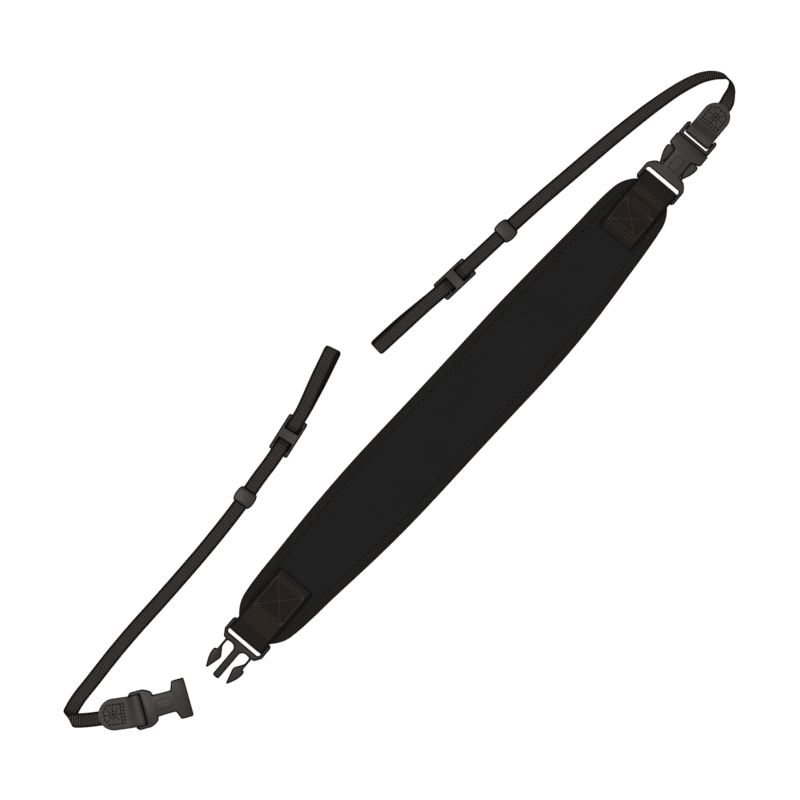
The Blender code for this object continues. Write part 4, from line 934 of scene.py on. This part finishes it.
def topOutlines(bm):
    # closed chains of the edges between the top faces and the sides, above the piece's middle
    links = {}
    for edge in bm.edges:
        if len(edge.link_faces) == 2:
            first, second = (face.normal.z > shadeRim["steepest"] for face in edge.link_faces)
            if first != second:
                u, v = edge.verts
                links.setdefault(u, []).append(v)
                links.setdefault(v, []).append(u)
    heights = [v.co.z for v in bm.verts]
    chains = []
    while links:
        spot = next(iter(links))
        chain = [spot]
        while links.get(spot):
            onward = links[spot].pop()
            links[onward].remove(spot)
            if not links[spot]:
                del links[spot]
            chain.append(onward)
            spot = onward
        links.pop(spot, None)
        line = np.array([v.co[:] for v in chain])
        closed = len(line) > 3 and np.linalg.norm(line[0] - line[-1]) < shadeRim["merged"]
        if closed and line[:, 2].mean() > 0.5 * (min(heights) + max(heights)) + shadeRim["above"]:
            chains.append(line[:-1])
    return chains


def border(name, chain, radius=shadeRim["radius"], sides=8):
    # a low half-round bead of near-black painted shade along a closed chain: p + n r cos(a) + z (h sin(a) -
    # sunk), n being the chain's sideways direction on the table
    line = np.concatenate([chain, chain[:1]])
    length = lengthAlong(line)
    count = max(12, int(length[-1] / shadeRim["spacing"]))
    s = np.linspace(0.0, length[-1], count + 1)
    line = resample(s[:-1], length, line)
    line = (np.roll(line, 1, axis=0) + 2 * line + np.roll(line, -1, axis=0)) / 4
    ahead = np.roll(line, -1, axis=0) - np.roll(line, 1, axis=0)
    ahead /= np.linalg.norm(ahead[:, :2], axis=1)[:, None] + 1e-9
    outwards = np.stack([ahead[:, 1], -ahead[:, 0], np.zeros(count)], axis=1)
    angle = np.arange(sides + 1) * 2 * math.pi / sides
    points = (line[:, None, :] + outwards[:, None, :] * (radius * np.cos(angle[:-1]))[None, :, None]
              + np.array([0.0, 0.0, 1.0]) * (shadeRim["rise"] * np.sin(angle[:-1]) - shadeRim["sunk"])[None, :, None])
    bead = gridMesh(name, points, joined(s[:, None], angle[None, :]), closedRows=True)
    dress(bead, finish["shadeRim"], "plastic")


def softened(name, node, bevel, material):
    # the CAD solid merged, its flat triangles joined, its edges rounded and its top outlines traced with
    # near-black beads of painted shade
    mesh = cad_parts[node].data.copy()
    piece = newObject(name, mesh)
    bm = bmesh.new()
    bm.from_mesh(mesh)
    bmesh.ops.remove_doubles(bm, verts=bm.verts, dist=shadeRim["merged"])
    bmesh.ops.dissolve_limit(bm, angle_limit=math.radians(2.0), verts=bm.verts, edges=bm.edges)
    chains = topOutlines(bm)
    bm.to_mesh(mesh)
    bm.free()
    mesh.materials.clear()
    mesh.shade_smooth()
    edge = piece.modifiers.new("roundedEdges", "BEVEL")
    edge.width = bevel
    edge.segments = 2
    edge.limit_method = "ANGLE"
    edge.angle_limit = math.radians(35)
    edge.harden_normals = True
    dress(piece, finish[material], "plastic", node)
    for k, chain in enumerate(chains):
        border(name + "Rim" + str(k), chain)


def neckPanelShade(name, spot, heading):
    # a near-black bead of painted shade where the edge of a plain sunk panel would be on a socket's neck, in
    # the buckle's own plane
    h = math.radians(heading)
    far, near, half = panel["far"], panel["near"], panel["half"]
    chain = np.array([(spot[0] + (x * math.cos(h) - y * math.sin(h)) * mm,
                       spot[1] + (x * math.sin(h) + y * math.cos(h)) * mm, panel["height"])
                      for x, y in ((near, -half), (far, -half), (far, half), (near, half))])
    border(name, chain, panel["radius"])


print("plastic hardware")
neckPanelShade("socketRightPanelShade", routePoint(rightRoute, place["rightStandoff"] + place["wideSocket"]),
          place["rightHeading"])
neckPanelShade("socketLeftPanelShade", free, place["freeHeading"])
for word, bevel in (("prongs", 0.3 * mm), ("socket", 0.3 * mm), ("slider", 0.2 * mm), ("keeper", 0.2 * mm)):
    for side in ("left", "right"):
        node = word + "_" + side
        # the left prongs take the darker copy of the acetal, which is painted shade
        softened(word + side.capitalize(), node, bevel, "shadedPlastic" if node == "prongs_left" else "plastic")


# Table, light and camera

stage = {
    "tableHalf": 4.0, "paper": 0.92, "zenith": 1.35, "horizon": 0.015, "horizonHeight": 0.35,
    "lampSpot": (-0.9, 1.2, 3.4), "lampSize": 1.2, "lampPower": 32.0,
}


def buildStage():
    r = stage["tableHalf"]
    table = bpy.data.meshes.new("table")
    table.from_pydata([(-r, -r, 0), (r, -r, 0), (r, r, 0), (-r, r, 0)], [], [(0, 1, 2, 3)])
    floor = newObject("table", table)
    # the paper shines by itself and lights nothing, so that it stays white under the strap as in the photo
    paper = newMaterial("whitePaper", Base_Color=(0.2, 0.2, 0.2, 1.0), Roughness=1.0, Specular_IOR_Level=0.0,
                        Emission_Color=(1.0, 1.0, 1.0, 1.0), Emission_Strength=stage["paper"])[0]
    table.materials.append(paper)
    floor.visible_diffuse = False
    floor.visible_glossy = False
    # a sky that is bright overhead and dark at the horizon: strength = smoothstep of the height
    world = bpy.data.worlds.new("studio")
    world.use_nodes = True
    sky = world.node_tree
    where = addNode(sky, "ShaderNodeTexCoord").outputs["Generated"]
    height = addNode(sky, "ShaderNodeSeparateXYZ", (), {0: where}).outputs["Z"]
    strength = mapped(sky, height, (stage["horizonHeight"], 1.0), (stage["horizon"], stage["zenith"]),
                      "SMOOTHSTEP")
    sky.nodes["Background"].inputs["Color"].default_value = (1.0, 1.0, 1.0, 1.0)
    feed(sky, sky.nodes["Background"], {"Strength": strength})
    bpy.context.scene.world = world
    light = bpy.data.lights.new("overhead", "AREA")
    light.size = stage["lampSize"]
    light.energy = stage["lampPower"]
    lamp = newObject("overhead", light)
    lamp.location = stage["lampSpot"]
    x, y, z = stage["lampSpot"]
    lamp.rotation_euler = (math.atan2(math.hypot(x, y), z), 0.0, math.atan2(-y, -x) - 0.5 * math.pi)
    lens = bpy.data.cameras.new("camera")
    lens.sensor_width = view["sensor"]
    lens.lens = view["sensor"] * view["height"] / view["span"]
    lens.clip_end = view["farthest"]
    camera = newObject("camera", lens)
    camera.location = (*view["centre"], view["height"])
    camera.rotation_euler = (0.0, 0.0, math.radians(view["turn"]))
    bpy.context.scene.camera = camera
    bpy.context.scene.view_settings.view_transform = "Standard"


print("stage")
buildStage()
